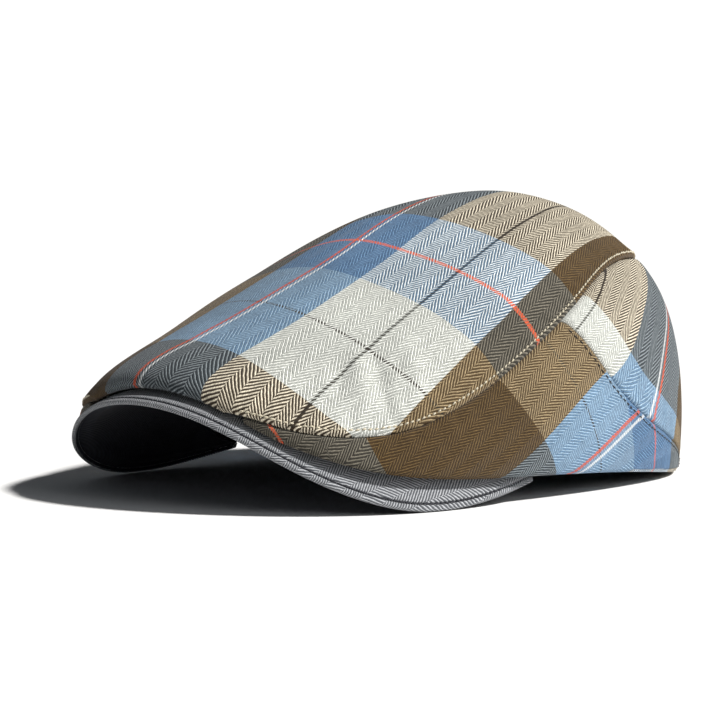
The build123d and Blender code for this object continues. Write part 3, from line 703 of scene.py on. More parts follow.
def herringbone(k, u, v, column=COLUMN, twill=TWILL, soft=0.16):
    """0 where the weft shows, 1 where the warp shows, and the cloth's rib height."""
    vec = k.vec(u, v)
    drift = k.m("MULTIPLY", k.m("SUBTRACT", k.noise(vec, 0.45, 3.0), 0.5), 0.85)
    zig = k.m("PINGPONG", u, column)
    side = k.m("FLOORED_MODULO", k.m("FLOOR", k.m("DIVIDE", u, column)), 2.0)
    phase = k.m("ADD", k.m("DIVIDE", k.m("ADD", k.m("ADD", v, drift), k.m("MULTIPLY", zig, 1.5)), twill), k.m("MULTIPLY", side, 0.5))
    wave = k.m("MULTIPLY", k.m("PINGPONG", phase, 0.5), 2.0)
    mask = k.smooth(wave, 0.5 - soft, 0.5 + soft)
    # single yarns, finer than the rib
    yarn = k.m("MULTIPLY", k.m("ADD", k.m("SINE", k.m("MULTIPLY", u, 2 * math.pi / 0.42)), 1.0), 0.5)
    pick = k.m("MULTIPLY", k.m("ADD", k.m("SINE", k.m("MULTIPLY", v, 2 * math.pi / 0.42)), 1.0), 0.5)
    over = k.m("ADD", k.m("MULTIPLY", mask, yarn), k.m("MULTIPLY", k.m("SUBTRACT", 1.0, mask), pick))
    rib = k.m("ABSOLUTE", k.m("SUBTRACT", k.m("MULTIPLY", wave, 2.0), 1.0))
    height = k.m("ADD", k.m("MULTIPLY", k.smooth(rib, 0.0, 0.8), 0.75), k.m("MULTIPLY", over, 0.25))
    return mask, height, over, vec


def heather(k, u, v):
    """Yarn-by-yarn variation: streaks along the warp and along the weft."""
    a = k.noise(k.vec(k.m("MULTIPLY", u, 2.6), k.m("MULTIPLY", v, 0.35), 1.7), 1.0, 3.0, 0.6)
    b = k.noise(k.vec(k.m("MULTIPLY", u, 0.35), k.m("MULTIPLY", v, 2.6), 7.3), 1.0, 3.0, 0.6)
    return a, b


# What shows where the warp is on top and where the weft is, for each block of warp in each block of weft.
# where warp and weft are of one colour, the weft side is a little darker by itself; the rest of its darkness is painted
# shade of the weave's relief
PAIRS = {
    ("brown", "white"): (lin(162, 142, 108), lin(78, 60, 36)),
    ("brown", "blue"): (lin(122, 116, 103), lin(54, 51, 44)),
    ("brown", "brown"): (lin(104, 83, 50), lin(62, 45, 22)),
    ("blue", "white"): (lin(150, 177, 200), lin(98, 129, 158)),
    ("blue", "blue"): (lin(108, 143, 178), lin(72, 104, 140)),
    ("blue", "brown"): (lin(134, 142, 146), lin(44, 52, 57)),
    ("white", "white"): (lin(236, 237, 230), lin(176, 179, 172)),
    ("white", "blue"): (lin(226, 234, 238), lin(84, 112, 136)),
    ("white", "brown"): (lin(228, 217, 194), lin(60, 48, 34)),
}
RED, DARK, WHITE = lin(226, 98, 62), lin(50, 44, 36), lin(240, 242, 242)


def plaid(name):
    k = Nodes(name)
    u, v = k.uv()
    mask, height, over, vec = herringbone(k, u, v)
    a, b = heather(k, u, v)
    edge = k.m("MULTIPLY", k.m("SUBTRACT", k.noise(vec, 0.9, 1.0), 0.5), 0.35)
    ue, ve = k.m("ADD", u, edge), k.m("ADD", v, edge)
    wu = k.m("WRAP", ue, 69.0, -69.0)
    wv = k.m("WRAP", ve, 138.0, 0.0)
    across = k.m("DIVIDE", k.m("ADD", wu, 69.0), 138.0)
    in_blue = k.m("MULTIPLY", k.m("GREATER_THAN", wv, 50.0), k.m("LESS_THAN", wv, 88.0))
    in_brown = k.m("GREATER_THAN", wv, 88.0)

    def yarns(which):
        rows = [k.ramp(across, [(0.0, PAIRS[("brown", w)][which]), (50 / 138, PAIRS[("blue", w)][which]), (88 / 138, PAIRS[("white", w)][which])])
                for w in ("white", "blue", "brown")]
        return k.mix(in_brown, k.mix(in_blue, rows[0], rows[1]), rows[2])

    warp, weft = yarns(0), yarns(1)
    var_a = k.smooth(a, 0.25, 0.75, 0.72, 1.26)
    var_b = k.smooth(b, 0.25, 0.75, 0.70, 1.28)
    warp = k.mix(1.0, warp, k.vec(var_a, var_a, var_a), "MULTIPLY")
    weft = k.mix(1.0, weft, k.vec(var_b, var_b, var_b), "MULTIPLY")
    # overchecks: thin lines of one or two yarns, each showing where its own yarn is on top
    red_u = None
    for x, c, w in ((0.0, RED, 0.62), (2.3, WHITE, 0.5), (44.0, DARK, 0.50)):
        on = k.m("SUBTRACT", 1.0, k.smooth(k.m("ABSOLUTE", k.m("SUBTRACT", wu, x)), w - 0.15, w + 0.15))
        warp = k.mix(on, warp, c)
        if c is not DARK:
            red_u = on if red_u is None else k.m("MAXIMUM", red_u, on)
    lines = None
    for y, c, w in ((25.5, DARK, 0.50), (69.0, RED, 0.6)):
        on = k.m("SUBTRACT", 1.0, k.smooth(k.m("ABSOLUTE", k.m("SUBTRACT", wv, y)), w - 0.15, w + 0.15))
        weft = k.mix(on, weft, c)
        if c is not DARK:
            lines = on if lines is None else k.m("MAXIMUM", lines, on)
    show = k.m("ADD", mask, k.m("MULTIPLY", red_u, 0.40))
    show = k.m("SUBTRACT", show, k.m("MULTIPLY", lines, 0.40))
    show = k.m("MINIMUM", k.m("MAXIMUM", show, 0.0), 1.0)
    col = k.mix(show, weft, warp)
    # painted shade: the colour is darkened in the furrows between the ribs and lightened on their backs
    shade = k.smooth(height, 0.05, 0.9, 0.62, 1.10)
    col = k.mix(1.0, col, k.vec(shade, shade, shade), "MULTIPLY")
    big = k.smooth(k.noise(k.place(), 34.0, 3.0), 0.3, 0.7, 0.90, 1.06)
    col = k.mix(1.0, col, k.vec(big, big, big), "MULTIPLY")
    speck = k.smooth(k.noise(k.vec(k.m("MULTIPLY", u, 1.0), k.m("MULTIPLY", v, 1.0), 3.1), 1.9, 3.0, 0.75), 0.3, 0.7, 0.78, 1.16)
    col = k.mix(1.0, col, k.vec(speck, speck, speck), "MULTIPLY")
    fuzz = k.noise(k.place(), 2600.0, 2.0)
    normal = k.bump(k.m("ADD", height, k.m("MULTIPLY", fuzz, 0.35)), 0.00022, 0.85)
    return k.shader(col, k.smooth(fuzz, 0.3, 0.7, 0.80, 0.96), normal, sheen=0.10, sheen_tint=(0.9, 0.93, 1.0, 1), spec=0.18)


def brim_cloth(name):
    k = Nodes(name)
    u, v = k.uv()
    mask, height, over, vec = herringbone(k, u, v, 4.3, 1.6)
    a, b = heather(k, u, v)
    light, dark = lin(176, 178, 182), lin(84, 87, 92)
    va, vb = k.smooth(a, 0.25, 0.75, 0.75, 1.2), k.smooth(b, 0.25, 0.75, 0.75, 1.2)
    col = k.mix(mask, k.mix(1.0, dark, k.vec(vb, vb, vb), "MULTIPLY"), k.mix(1.0, light, k.vec(va, va, va), "MULTIPLY"))
    # painted shade: the colour is darkened in the furrows between the ribs and lightened on their backs
    shade = k.smooth(height, 0.05, 0.9, 0.7, 1.06)
    col = k.mix(1.0, col, k.vec(shade, shade, shade), "MULTIPLY")
    fuzz = k.noise(k.place(), 2600.0, 2.0)
    normal = k.bump(k.m("ADD", height, k.m("MULTIPLY", fuzz, 0.35)), 0.00020, 0.85)
    return k.shader(col, k.smooth(fuzz, 0.3, 0.7, 0.82, 0.96), normal, sheen=0.08, spec=0.18)


def twill(name, light, dark, pitch=0.8, sheen=0.05, rough=0.85, bump=0.00012):
    """Plain diagonal weave of one colour."""
    k = Nodes(name)
    u, v = k.uv()
    w = k.m("MULTIPLY", k.m("PINGPONG", k.m("DIVIDE", k.m("ADD", u, v), pitch), 0.5), 2.0)
    a, b = heather(k, u, v)
    f = k.m("ADD", k.m("MULTIPLY", w, 0.6), k.m("MULTIPLY", a, 0.4))
    # painted shade: dark in the furrows and light on the diagonal ribs, mixed with random yarn tone
    col = k.mix(k.smooth(f, 0.15, 0.85), dark, light)
    big = k.smooth(k.noise(k.place(), 30.0, 2.0), 0.3, 0.7, 0.9, 1.08)
    col = k.mix(1.0, col, k.vec(big, big, big), "MULTIPLY")
    return k.shader(col, k.smooth(b, 0.3, 0.7, rough - 0.06, rough + 0.06), k.bump(w, bump, 0.8), sheen=sheen, spec=0.25)


def satin(name, light, dark):
    """Smooth lining cloth: fine long floats, a soft gloss."""
    k = Nodes(name)
    u, v = k.uv()
    a = k.noise(k.vec(k.m("MULTIPLY", u, 3.0), k.m("MULTIPLY", v, 0.25)), 1.0, 2.0)
    b = k.m("MULTIPLY", k.m("ADD", k.m("SINE", k.m("MULTIPLY", u, 2 * math.pi / 0.35)), 1.0), 0.5)
    col = k.mix(k.smooth(a, 0.2, 0.8), dark, light)
    return k.shader(col, k.smooth(a, 0.3, 0.7, 0.30, 0.46), k.bump(k.m("ADD", b, a), 0.00004, 0.6), spec=0.45, sheen=0.05, aniso=0.4)


def thread(name, light, dark, rough=0.6):
    """Twisted sewing thread: the twist runs round each stitch."""
    k = Nodes(name)
    a, s = k.uv()
    t = k.m("ADD", k.m("DIVIDE", a, 2 * math.pi), k.m("DIVIDE", s, 0.55))
    w = k.m("MULTIPLY", k.m("PINGPONG", t, 0.5), 2.0)
    n = k.noise(k.place(), 900.0, 2.0)
    # painted shade: darker in the grooves of the twist, lighter on the plies, mixed with random tone
    col = k.mix(k.smooth(k.m("ADD", k.m("MULTIPLY", w, 0.7), k.m("MULTIPLY", n, 0.3)), 0.1, 0.8), dark, light)
    return k.shader(col, k.smooth(n, 0.3, 0.7, rough - 0.08, rough + 0.08), k.bump(w, 0.00006, 0.9), spec=0.35, sheen=0.1)


def ribbed(name, light, dark):
    """Elastic tape: cords of rubber covered in yarn, with the cross weave between them."""
    k = Nodes(name)
    u, v = k.uv()
    cord = k.m("MULTIPLY", k.m("PINGPONG", k.m("DIVIDE", v, 1.6), 0.5), 2.0)
    cross = k.m("MULTIPLY", k.m("PINGPONG", k.m("DIVIDE", u, 0.8), 0.5), 2.0)
    h = k.m("ADD", k.m("MULTIPLY", k.smooth(cord, 0.1, 0.9), 0.7), k.m("MULTIPLY", cross, 0.3))
    # painted shade: dark between the cords and light on their tops
    col = k.mix(h, dark, light)
    return k.shader(col, k.smooth(cross, 0.0, 1.0, 0.7, 0.85), k.bump(h, 0.0003, 0.9), spec=0.3, sheen=0.05)


def moulded(name, color):
    """Brim board: hard plastic sheet with a faint grain."""
    k = Nodes(name)
    n = k.noise(k.place(), 700.0, 3.0)
    f = k.smooth(n, 0.3, 0.7, 0.9, 1.08)
    col = k.mix(1.0, color, k.vec(f, f, f), "MULTIPLY")
    return k.shader(col, k.smooth(n, 0.3, 0.7, 0.45, 0.6), k.bump(n, 0.00008, 0.5), spec=0.4)


PLAID = plaid("plaid_cloth")
BRIM_CLOTH = brim_cloth("brim_cloth")
# painted shade: the brim's under cloth is a dark navy that stands for the shade under the brim
UNDER_CLOTH_PAINTED_SHADE = twill("brim_under_cloth_painted_shade", lin(34, 38, 50), lin(18, 20, 28), 0.9)
LINING_CLOTH = satin("lining_satin", lin(44, 50, 66), lin(24, 28, 40))
BAND_CLOTH_MAT = twill("sweatband_cotton", lin(48, 50, 58), lin(28, 29, 35), 0.7)
ELASTIC_MAT = ribbed("elastic_tape", lin(40, 40, 42), lin(18, 18, 20))
CREAM_THREAD = thread("cream_thread", lin(222, 214, 192), lin(168, 156, 130))
DARK_THREAD = thread("dark_thread", lin(52, 48, 44), lin(24, 22, 22))
# the navy thread is real stitching; its dark colour, in thick, nearly unbroken stitches, is also painted shade for the
# shadow in the brim's groove
NAVY_THREAD_AND_GROOVE_SHADE = thread("navy_thread_and_groove_shade", lin(40, 42, 52), lin(20, 21, 28))
LABEL_CLOTH = satin("label_satin", lin(232, 230, 224), lin(206, 202, 194))
BOARD_MAT = moulded("board_plastic", lin(60, 60, 62))

# ---- crown ---------------------------------------------------------------------------------------------------
FINE = 1


def crown_piece(name, pq, lift, fit, mirror, bulge, replaces, post=None):
    P0, N = on_crown(pq), normals_at(pq)
    P = P0 + N * lift(P0)[..., None]
    uv = cloth_uv(fit, pq)
    dh, _ = HEM.near(P0)
    if post:
        uv = post(uv, dh)
    th = 1.2 + 0.9 * gauss(dh, 4.0)
    if mirror:
        P, N = P * np.array([-1.0, 1.0, 1.0]), N * np.array([-1.0, 1.0, 1.0])
    ob = sheet_mesh(name, P, N, th, uv, PLAID, bulge)
    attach(ob, "cap")
    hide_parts(replaces)
    return ob


def side_coords(uv, dh):
    """Towards the front tip of the side piece the cut runs out inside one block of the warp, so whole
    columns of the weave are gone through again there. At the back the next, white block only just shows
    where the hem turns under."""
    u, v = uv[..., 0], uv[..., 1]
    hem = (u > 35.0) & (dh < 1.3)
    back_and_forth = np.mod(np.maximum(-27.5 - u, 0.0), 38.75)
    u = np.where(u < -27.5, -27.5 - np.minimum(back_and_forth, 38.75 - back_and_forth), np.minimum(u, 37.4))
    u = np.where(hem, 40.5, u)
    # the front tip's weft block is longer by six turns of the twill
    v = np.where(v < -64.0, v + 10.32, v)
    return np.stack([u - 19.0, v], -1)


def rear_coords(uv, dh):
    """The back piece is cut with its warp turned round."""
    return np.stack([19.0 - uv[..., 0], uv[..., 1]], -1)


g = grid(261 // FINE, 261 // FINE)
top = crown_piece("top_cloth", region_top(*g), lift_top, TOP_FIT, False, (0.3, 0.3, 0.7, 0.3), "top_panel")
g = grid(281 // FINE, 121 // FINE)
left = crown_piece("left_side_cloth", region_left(*g), lift_side, LEFT_FIT, False, (0.2, 0.2, 0.9, 0.2), "left_side_panel", side_coords)
right = crown_piece("right_side_cloth", region_left(*g), lift_side, LEFT_FIT, True, (0.2, 0.2, 0.9, 0.2), "right_side_panel", side_coords)
g = grid(281 // FINE, 181 // FINE)
back = crown_piece("back_cloth", region_back(*g), lift_side, REAR_FIT, False, (0.2, 0.2, 0.9, 0.2), "back_panel", rear_coords)

# stitches on the crown
t = np.linspace(0.03, 1.97, 2400)
c = STITCH(t)
p, n = on_crown(c), normals_at(c)
p = p + n * (lift_top(p) + 0.05)[..., None]
crown_row = stitches("crown_seam_stitches", p, n, 2.45, 1.85, 0.36, 0.40, CREAM_THREAD, sink=0.30, skew=0.30)
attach(crown_row, "cap")
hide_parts("crown_topstitch")
for side, sign in (("left", 1.0), ("right", -1.0)):
    c = shift(back_seam, 1, 0.014)(np.linspace(0.06, 0.97, 900))
    p, n = on_crown(c), normals_at(c)
    p = p + n * (lift_side(p) + 0.02)[..., None]
    flip = np.array([sign, 1.0, 1.0])
    row = stitches("back_seam_stitches_" + side, p * flip, n * flip, 3.0, 2.4, 0.24, 0.24, DARK_THREAD, sink=0.3, skew=0.1)
    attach(row, "cap")
    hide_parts("back_stitch_" + side)

# ---- lining: satin, a little too large, so it lies in soft waves ----------------------------------------------
def lining(name, region, node, nu, nv, mirror=False, wave=0.0):
    u, v = grid(nu, nv)
    pq = limited(region(u, v))
    P0, N = on_crown(pq), normals_at(pq)
    x, y, z = P0[..., 0], P0[..., 1], P0[..., 2]
    ripple = (0.5 + 0.5 * np.sin(x / 7.0 + 1.5 * np.sin(y / 21.0 + wave))) * (0.5 + 0.5 * np.sin(z / 19.0 + y / 25.0 + wave))
    edge = np.minimum(np.minimum(u, 1 - u) * 8, np.minimum(v, 1 - v) * 8).clip(0, 1)
    rise = np.clip((z - 28.0) / 8.0, 0, 1)
    P = P0 - N * (1.9 + 1.6 * ripple * edge + 1.1 * rise * rise * (3 - 2 * rise)
                  + 0.7 * gauss(np.minimum(v, 1 - v), 0.02))[..., None]
    uv = np.stack([P0[..., 0] + 0.3 * P0[..., 2], P0[..., 1] - 0.2 * P0[..., 2]], -1)
    if mirror:
        P, N = P * np.array([-1.0, 1.0, 1.0]), N * np.array([-1.0, 1.0, 1.0])
    ob = sheet_mesh(name, P, N, 0.45, uv, LINING_CLOTH, (0.1,) * 4)
    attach(ob, "cap")
    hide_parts(node)
    return ob


lin_mid = lining("lining_middle_cloth", region_lining_middle, "lining_middle", 101 // FINE, 141 // FINE)
lin_left = lining("lining_left_cloth", region_lining_left, "lining_left", 141 // FINE, 71 // FINE, wave=1.0)
lin_right = lining("lining_right_cloth", region_lining_left, "lining_right", 141 // FINE, 71 // FINE, True, wave=2.2)

# ---- brim ---------------------------------------------------------------------------------------------------------
BRIM_FULL = 0.9 + 1.6 + 0.1 + 0.8      # top cover, board, gaps, under cover
RIM_FULL = 1.6                         # pinched by the stitching near the rim


def brim_len(u, n=160):
    """Arc length from the rim inwards, so that the cloth's coordinates are true."""
    vs = np.linspace(0, 1, n)
    p = brim_uv(u[:, None], vs[None])
    return vs, np.concatenate([np.zeros((len(u), 1)), np.cumsum(np.linalg.norm(np.diff(p, axis=1), axis=-1), 1)], 1)


NU, NIN, NWRAP = 361 // FINE, 74 // FINE, 12
us = np.linspace(0.006, 0.994, NU)
vs, ln = brim_len(us)
rows = []          # from the join inwards of the crown, over the rim, and under it
total = ln[:, -1]
inner = np.linspace(1.0, 0.0, NIN - 18 // FINE)
# even rows at the same distance from the rim all the way round, close together in the sewn groove
near = np.array([5.2, 4.4, 3.7, 3.2, 2.85, 2.6, 2.4, 2.25, 2.1, 1.95, 1.8, 1.6, 1.35, 1.1, 0.8, 0.5, 0.25, 0.0])
scale = np.clip(total / 14.0, 0.0, 1.0)[:, None]
d_near = near[None] * scale
far_end = 5.9 * scale
d_far = far_end + (inner ** 1.3)[None] * (total[:, None] - far_end)
d_from_rim = np.concatenate([d_far, d_near], 1)
v_at = np.stack([np.interp(d_from_rim[i], ln[i], vs) for i in range(NU)])
P0 = brim_uv(us[:, None], v_at)
N0 = brim_normal(us[:, None], v_at)
GROOVE = 2.1
fade = np.clip(np.minimum(us, 1 - us) / 0.03, 0, 1)[:, None]
off = (0.16 - 0.95 * gauss(d_from_rim - GROOVE, 0.36) + 0.10 * gauss(d_from_rim - GROOVE + 1.2, 0.7)
       + 0.18 * gauss(d_from_rim - GROOVE - 1.6, 1.2) - 0.28 * gauss(d_from_rim - GROOVE - 5.0, 1.0) * 0)
off = off * fade + 0.10 * np.sin(P0[..., 0] / 17.0 + 0.5) * np.sin(P0[..., 1] / 14.0)
P_in = P0 + N0 * off[..., None]
R, NR = P0[:, -1], N0[:, -1]
TR = unit(P0[:, -1] - P0[:, -2])
TR = unit(TR - (TR * NR).sum(-1, keepdims=True) * NR)
wrap_p, wrap_n, wrap_d = [], [], []
half = RIM_FULL / 2 + 0.1
for k in range(1, NWRAP + 1):
    a = math.pi * k / NWRAP
    wrap_p.append(R - NR * (half - 0.1) + (NR * math.cos(a) + TR * math.sin(a) * 0.80) * half)
    wrap_n.append(unit(NR * math.cos(a) * 0.8 + TR * math.sin(a)))
    wrap_d.append(-(a / math.pi) * half * 2.7)
under = [0.5, 1.1, 1.8]
for m in under:
    vv = np.array([np.interp(m, ln[i], vs) for i in range(NU)])
    q, nq = brim_uv(us, vv), brim_normal(us, vv)
    wrap_p.append(q - nq * (RIM_FULL + 0.15))
    wrap_n.append(-nq)
    wrap_d.append(np.full(NU, -half * 2.7 - m))
P = np.concatenate([P_in, np.stack(wrap_p, 1)], 1)
N = np.concatenate([N0, np.stack(wrap_n, 1)], 1)
dist = np.concatenate([d_from_rim, np.stack([np.broadcast_to(x, (NU,)) for x in wrap_d], 1)], 1)
# cloth coordinates: columns run from front to back
rim_x = R[:, 0]
lat = np.concatenate([P0[..., 0], np.repeat(rim_x[:, None], dist.shape[1] - NIN, 1)], 1)
arc = np.concatenate([[0], np.cumsum(np.linalg.norm(np.diff(P0[:, NIN // 2], axis=0), axis=-1))])
arc -= arc[NU // 2]
lon = np.concatenate([P0[..., 1], R[:, 1][:, None] - (dist[:, NIN:] * -1.0)], 1)
flat_step = np.hypot(np.diff(P0[..., 0], axis=0), np.diff(P0[..., 2], axis=0))
lat0 = np.concatenate([np.zeros((1, NIN)), np.cumsum(flat_step, 0)], 0)
lat0 = lat0 - lat0[NU // 2][None]
extra = -dist[:, NIN:]
lat = np.concatenate([lat0, lat0[:, -1:] + extra * np.hypot(TR[:, 0], TR[:, 2])[:, None] * np.sign(R[:, 0])[:, None]], 1)
lon = np.concatenate([P0[..., 1], R[:, 1][:, None] + extra * TR[:, 1][:, None]], 1)
brim_top = sheet_mesh("brim_top_cloth", P, N, 0.85, np.stack([lat + 1.3, lon], -1), BRIM_CLOTH, (0.2, 0.2, 0.2, 0.2))
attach(brim_top, "cap")
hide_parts("visor_top_cover")

# the stitched groove that runs round near the rim
u_st = np.linspace(0.05, 0.95, 1500)
vs2, ln2 = brim_len(u_st)
v_st = np.array([np.interp(GROOVE, ln2[i], vs2) for i in range(len(u_st))])
q, nq = brim_uv(u_st, v_st), brim_normal(u_st, v_st)
# these dark, thick stitches, almost end to end, are real and also painted shade for the groove's shadow
edge_row = stitches("brim_edge_stitches", q + nq * -0.02, nq, 2.5, 2.3, 0.30, 0.24, NAVY_THREAD_AND_GROOVE_SHADE, sink=0.12, skew=0.0)
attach(edge_row, "cap")
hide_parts("visor_edge_stitch")

# under side of the brim, thinner towards the rim where the stitching pinches it
def rim_distance(u, v):
    grid_v, lengths = brim_len(u[:, 0])
    return np.stack([np.interp(v[i], grid_v, lengths[i]) for i in range(len(u))])


def ease(x):
    x = np.clip(x, 0, 1)
    return x * x * (3 - 2 * x)


u, v = np.meshgrid(np.linspace(0.01, 0.99, 241 // FINE), np.linspace(0.0, 1.0, 71 // FINE) ** 1.3, indexing="ij")
v = 0.012 + 0.988 * v
q, nq = brim_uv(u, v), brim_normal(u, v)
d = rim_distance(u, v)
sag = 0.10 * np.sin(q[..., 0] / 13.0) * np.sin(q[..., 1] / 17.0)
depth = RIM_FULL - 0.35 + (BRIM_FULL - RIM_FULL) * ease((d - 1.5) / 7.0) + sag * ease(d / 6.0) - 0.25 * gauss(d - GROOVE, 0.5)
step = np.hypot(np.diff(q[..., 0], axis=0), np.diff(q[..., 2], axis=0))
la = np.concatenate([np.zeros((1, v.shape[1])), np.cumsum(step, 0)], 0)
# the under cloth's dark navy is painted shade of the brim's underside
brim_under = sheet_mesh("brim_under_cloth_painted_shade", q - nq * (depth + 0.6)[..., None], -nq, 0.6, np.stack([la, q[..., 1]], -1), UNDER_CLOTH_PAINTED_SHADE, (0.1,) * 4)
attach(brim_under, "cap")
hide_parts("visor_under_cover")

# the board inside, its edge thinned
u, v = np.meshgrid(np.linspace(0.02, 0.98, 181 // FINE), np.linspace(0.0, 1.0, 41 // FINE), indexing="ij")
a0 = rim_inset(u[:, 0], 3.2)[:, None]
v = a0 + (0.97 - a0) * v
q, nq = brim_uv(u, v), brim_normal(u, v)
d = rim_distance(u, v)
board_thick = 0.5 + 1.0 * ease((d - 3.0) / 6.0)
board = sheet_mesh("brim_board_shape", q - nq * 1.0, nq, board_thick, np.stack([q[..., 0], q[..., 1]], -1), BOARD_MAT, (0.25,) * 4)
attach(board, "cap")
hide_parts("visor_board")

# ---- sweatband -------------------------------------------------------------------------------------------------
s, v = np.meshgrid(np.linspace(8.03, 23.97, 561 // FINE), np.linspace(0.0, 1.0, 41), indexing="ij")
P0, N0 = band_sv(s, v), band_normal(s, v)
back_zone = np.clip(1.15 - np.abs(((s - 8.0 + 8.0) % 16.0) - 8.0) / 2.1, 0, 1) ** 0.5
around = Line(band_sv(np.linspace(8.03, 23.97, 1600), 0.5))
arc = np.interp(s[:, 0], np.linspace(8.03, 23.97, 1600), around.s)[:, None]
gather = back_zone * 0.55 * np.sin(2 * np.pi * arc / 5.2 + 0.6 * np.sin(arc / 9.0)) * np.sin(np.pi * v) ** 0.7
roll = 0.35 * np.cos(2 * np.pi * np.clip(v / 0.14, 0, 0.5)) * (v < 0.14) - 0.22 * gauss(v - 0.13, 0.018) - 0.22 * gauss(v - 0.88, 0.018)
P = P0 - N0 * (1.0 + gather * 0.5 - 0.5 * gather + roll * 0.0)[..., None]
inner_face = P0 - N0 * (1.0 + gather + roll)[..., None]
uvb = np.stack([np.broadcast_to(arc, v.shape), v * 27.0], -1)
band = sheet_mesh("sweatband_cloth", inner_face, -N0, 0.8, uvb, BAND_CLOTH_MAT, (0.1, 0.1, 0.35, 0.35))
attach(band, "cap")
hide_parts("sweatband")


def band_row(name, s0, s1, v0, depth, pitch, length, mat, node, inwards=True):
    ss = np.linspace(s0, s1, 1400)
    p, n = band_sv(ss, v0), band_normal(ss, v0)
    if inwards:
        row = stitches(name, p - n * depth, -n, pitch, length, 0.20, 0.22, mat, sink=0.2)
    else:
        row = stitches(name, p + n * depth, n, pitch, length, 0.20, 0.22, mat, sink=0.2)
    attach(row, "cap")
    if node:
        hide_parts(node)
    return row


band_row("hem_stitches", 4.7, 11.3, 0.13, 1.0, 3.0, 2.4, DARK_THREAD, "hem_stitch")
band_row("brim_join_stitches", -3.6, 3.6, 0.13, 1.0, 3.0, 2.4, DARK_THREAD, "brim_join_stitch")
band_row("band_upper_stitches", 8.15, 23.85, 0.88, 1.0, 3.2, 2.5, DARK_THREAD, None)

s, v = np.meshgrid(np.linspace(5.9, 10.1, 241 // FINE), np.linspace(0.30, 0.90, 31), indexing="ij")
P0, N0 = band_sv(s, v), band_normal(s, v)
arc_e = np.concatenate([[0.0], np.cumsum(np.linalg.norm(np.diff(P0[:, 15], axis=0), axis=-1))])[:, None]
rib = 0.12 * np.cos(2 * np.pi * v * 27.0 / 1.6) + 0.2 * np.sin(2 * np.pi * arc_e / 5.2)
elastic = sheet_mesh("sweatband_elastic_tape", P0 + N0 * (1.95 + rib)[..., None], N0, 0.7, np.stack([np.broadcast_to(arc_e, v.shape), v * 27.0], -1), ELASTIC_MAT, (0.1,) * 4)
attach(elastic, "cap")
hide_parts("sweatband_elastic")

# ---- care label, left blank --------------------------------------------------------------------------------------
x, z = np.meshgrid(np.linspace(-9.0, 9.0, 61), np.linspace(6.5, 26.5, 67), indexing="ij")
turn = 0.22 * gauss(z - 8.2, 1.5) + 0.08 * np.sin(x / 2.9) * np.sin((z - 6.5) / 6.5) ** 2
y = 119.14 - 0.17 - turn
lab = np.stack([x, y, z], -1)
label = sheet_mesh("care_label_cloth", lab, np.broadcast_to(np.array([0.0, -1.0, 0.0]), lab.shape), 0.34, np.stack([x * 1.7, z * 1.7], -1), LABEL_CLOTH, (0.12, 0.12, 0.12, 0.05))
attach(label, "label")
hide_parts("care_label")
xs = np.linspace(-8.0, 8.0, 200)
lp = np.stack([xs, np.full(200, 118.95), np.full(200, 27.25)], -1)
lab_row = stitches("label_stitches", lp, np.broadcast_to(np.array([0.0, -1.0, 0.0]), lp.shape), 1.6, 1.25, 0.20, 0.16, CREAM_THREAD, sink=0.25)
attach(lab_row, "cap")
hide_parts("label_stitch")


# ---- floor, light, camera -------------------------------------------------------------------------------------------
k = Nodes("studio_floor")
n = k.noise(k.place(), 3.0, 2.0)
k.shader(k.mix(k.smooth(n, 0.3, 0.7), (0.945, 0.945, 0.945, 1), (0.95, 0.95, 0.95, 1)), k.smooth(n, 0.3, 0.7, 0.75, 0.85), spec=0.1)
me = bpy.data.meshes.new("floor")
me.from_pydata([(-60, -60, 0), (60, -60, 0), (60, 60, 0), (-60, 60, 0)], [], [(0, 1, 2, 3)])
floor = bpy.data.objects.new("floor", me)
me.materials.append(k.mat)
bpy.context.scene.collection.objects.link(floor)
floor.location.z = CAD_BOX[0][2] - 0.0004

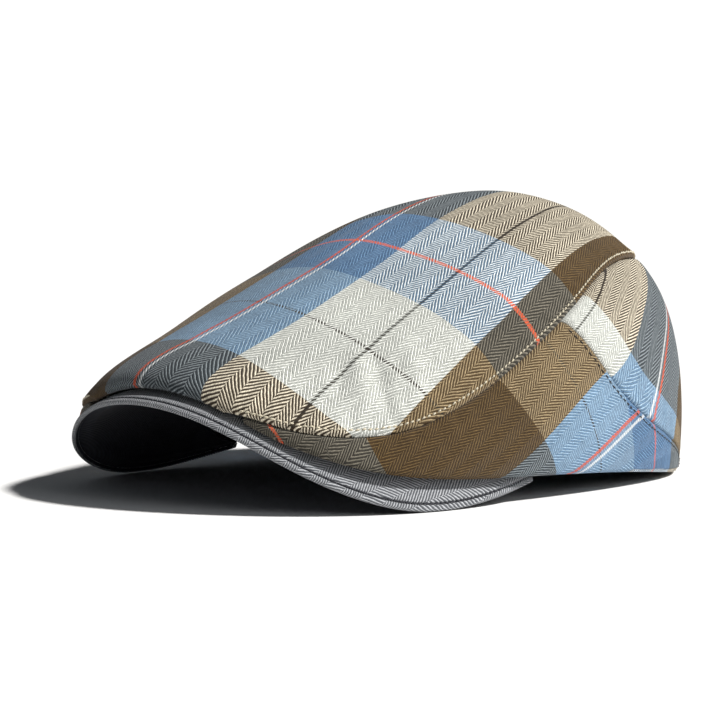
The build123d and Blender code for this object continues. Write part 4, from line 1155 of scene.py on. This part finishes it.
AZ, EL = math.radians(47.1145), math.radians(4.0016)
BACK = Vector((math.sin(AZ) * math.cos(EL), -math.cos(AZ) * math.cos(EL), math.sin(EL)))
RIGHT = Vector((math.cos(AZ), math.sin(AZ), 0.0))
UP = BACK.cross(RIGHT)
cam_data = bpy.data.cameras.new("camera")
cam_data.lens = 135.95
cam_data.sensor_width = 36.0
cam_data.sensor_fit = "HORIZONTAL"
cam_data.clip_end = 50.0
cam = bpy.data.objects.new("camera", cam_data)
cam.matrix_world = Matrix(((RIGHT.x, UP.x, BACK.x, 0.79855), (RIGHT.y, UP.y, BACK.y, -0.76059), (RIGHT.z, UP.z, BACK.z, 0.12521), (0, 0, 0, 1)))
bpy.context.scene.collection.objects.link(cam)
bpy.context.scene.camera = cam


def area_light(name, direction, dist, size, power, color=(1, 1, 1)):
    """direction is (right, up, towards the camera) as the camera sees it."""
    d = (RIGHT * direction[0] + Vector((0, 0, 1)) * direction[1] + Vector((BACK.x, BACK.y, 0)) * direction[2]).normalized()
    data = bpy.data.lights.new(name, "AREA")
    data.shape = "DISK"
    data.size = size
    data.energy = power
    data.color = color
    ob = bpy.data.objects.new(name, data)
    ob.location = Vector((0, 0, 0.05)) + d * dist
    ob.rotation_euler = d.to_track_quat("Z", "Y").to_euler()
    bpy.context.scene.collection.objects.link(ob)
    return ob


sun = bpy.data.lights.new("key", "SUN")
sun.energy = 4.75
sun.angle = math.radians(6.0)
sun.color = (1.0, 0.985, 0.96)
sun_ob = bpy.data.objects.new("key", sun)
sun_dir = (RIGHT * 0.75 + Vector((0, 0, 1)) * 0.86 + Vector((BACK.x, BACK.y, 0)) * 0.21).normalized()
sun_ob.rotation_euler = sun_dir.to_track_quat("Z", "Y").to_euler()
bpy.context.scene.collection.objects.link(sun_ob)
area_light("fill", (0.8, 0.45, 0.8), 2.4, 1.2, 9.0, (0.97, 0.985, 1.0))

world = bpy.data.worlds.new("studio")
bpy.context.scene.world = world
world.use_nodes = True
nt = world.node_tree
bg = nt.nodes["Background"]
lp_node = nt.nodes.new("ShaderNodeLightPath")
mul = nt.nodes.new("ShaderNodeMapRange")
mul.inputs["From Min"].default_value = 0.0
mul.inputs["From Max"].default_value = 1.0
mul.inputs["To Min"].default_value = 0.062
mul.inputs["To Max"].default_value = 1.35
nt.links.new(lp_node.outputs["Is Camera Ray"], mul.inputs["Value"])
nt.links.new(mul.outputs[0], bg.inputs["Strength"])
bg.inputs["Color"].default_value = (0.86, 0.93, 1.0, 1)
view = bpy.context.scene.view_settings
view.view_transform = "Standard"
view.look = "None"
view.exposure = 0.0
view.gamma = 1.0
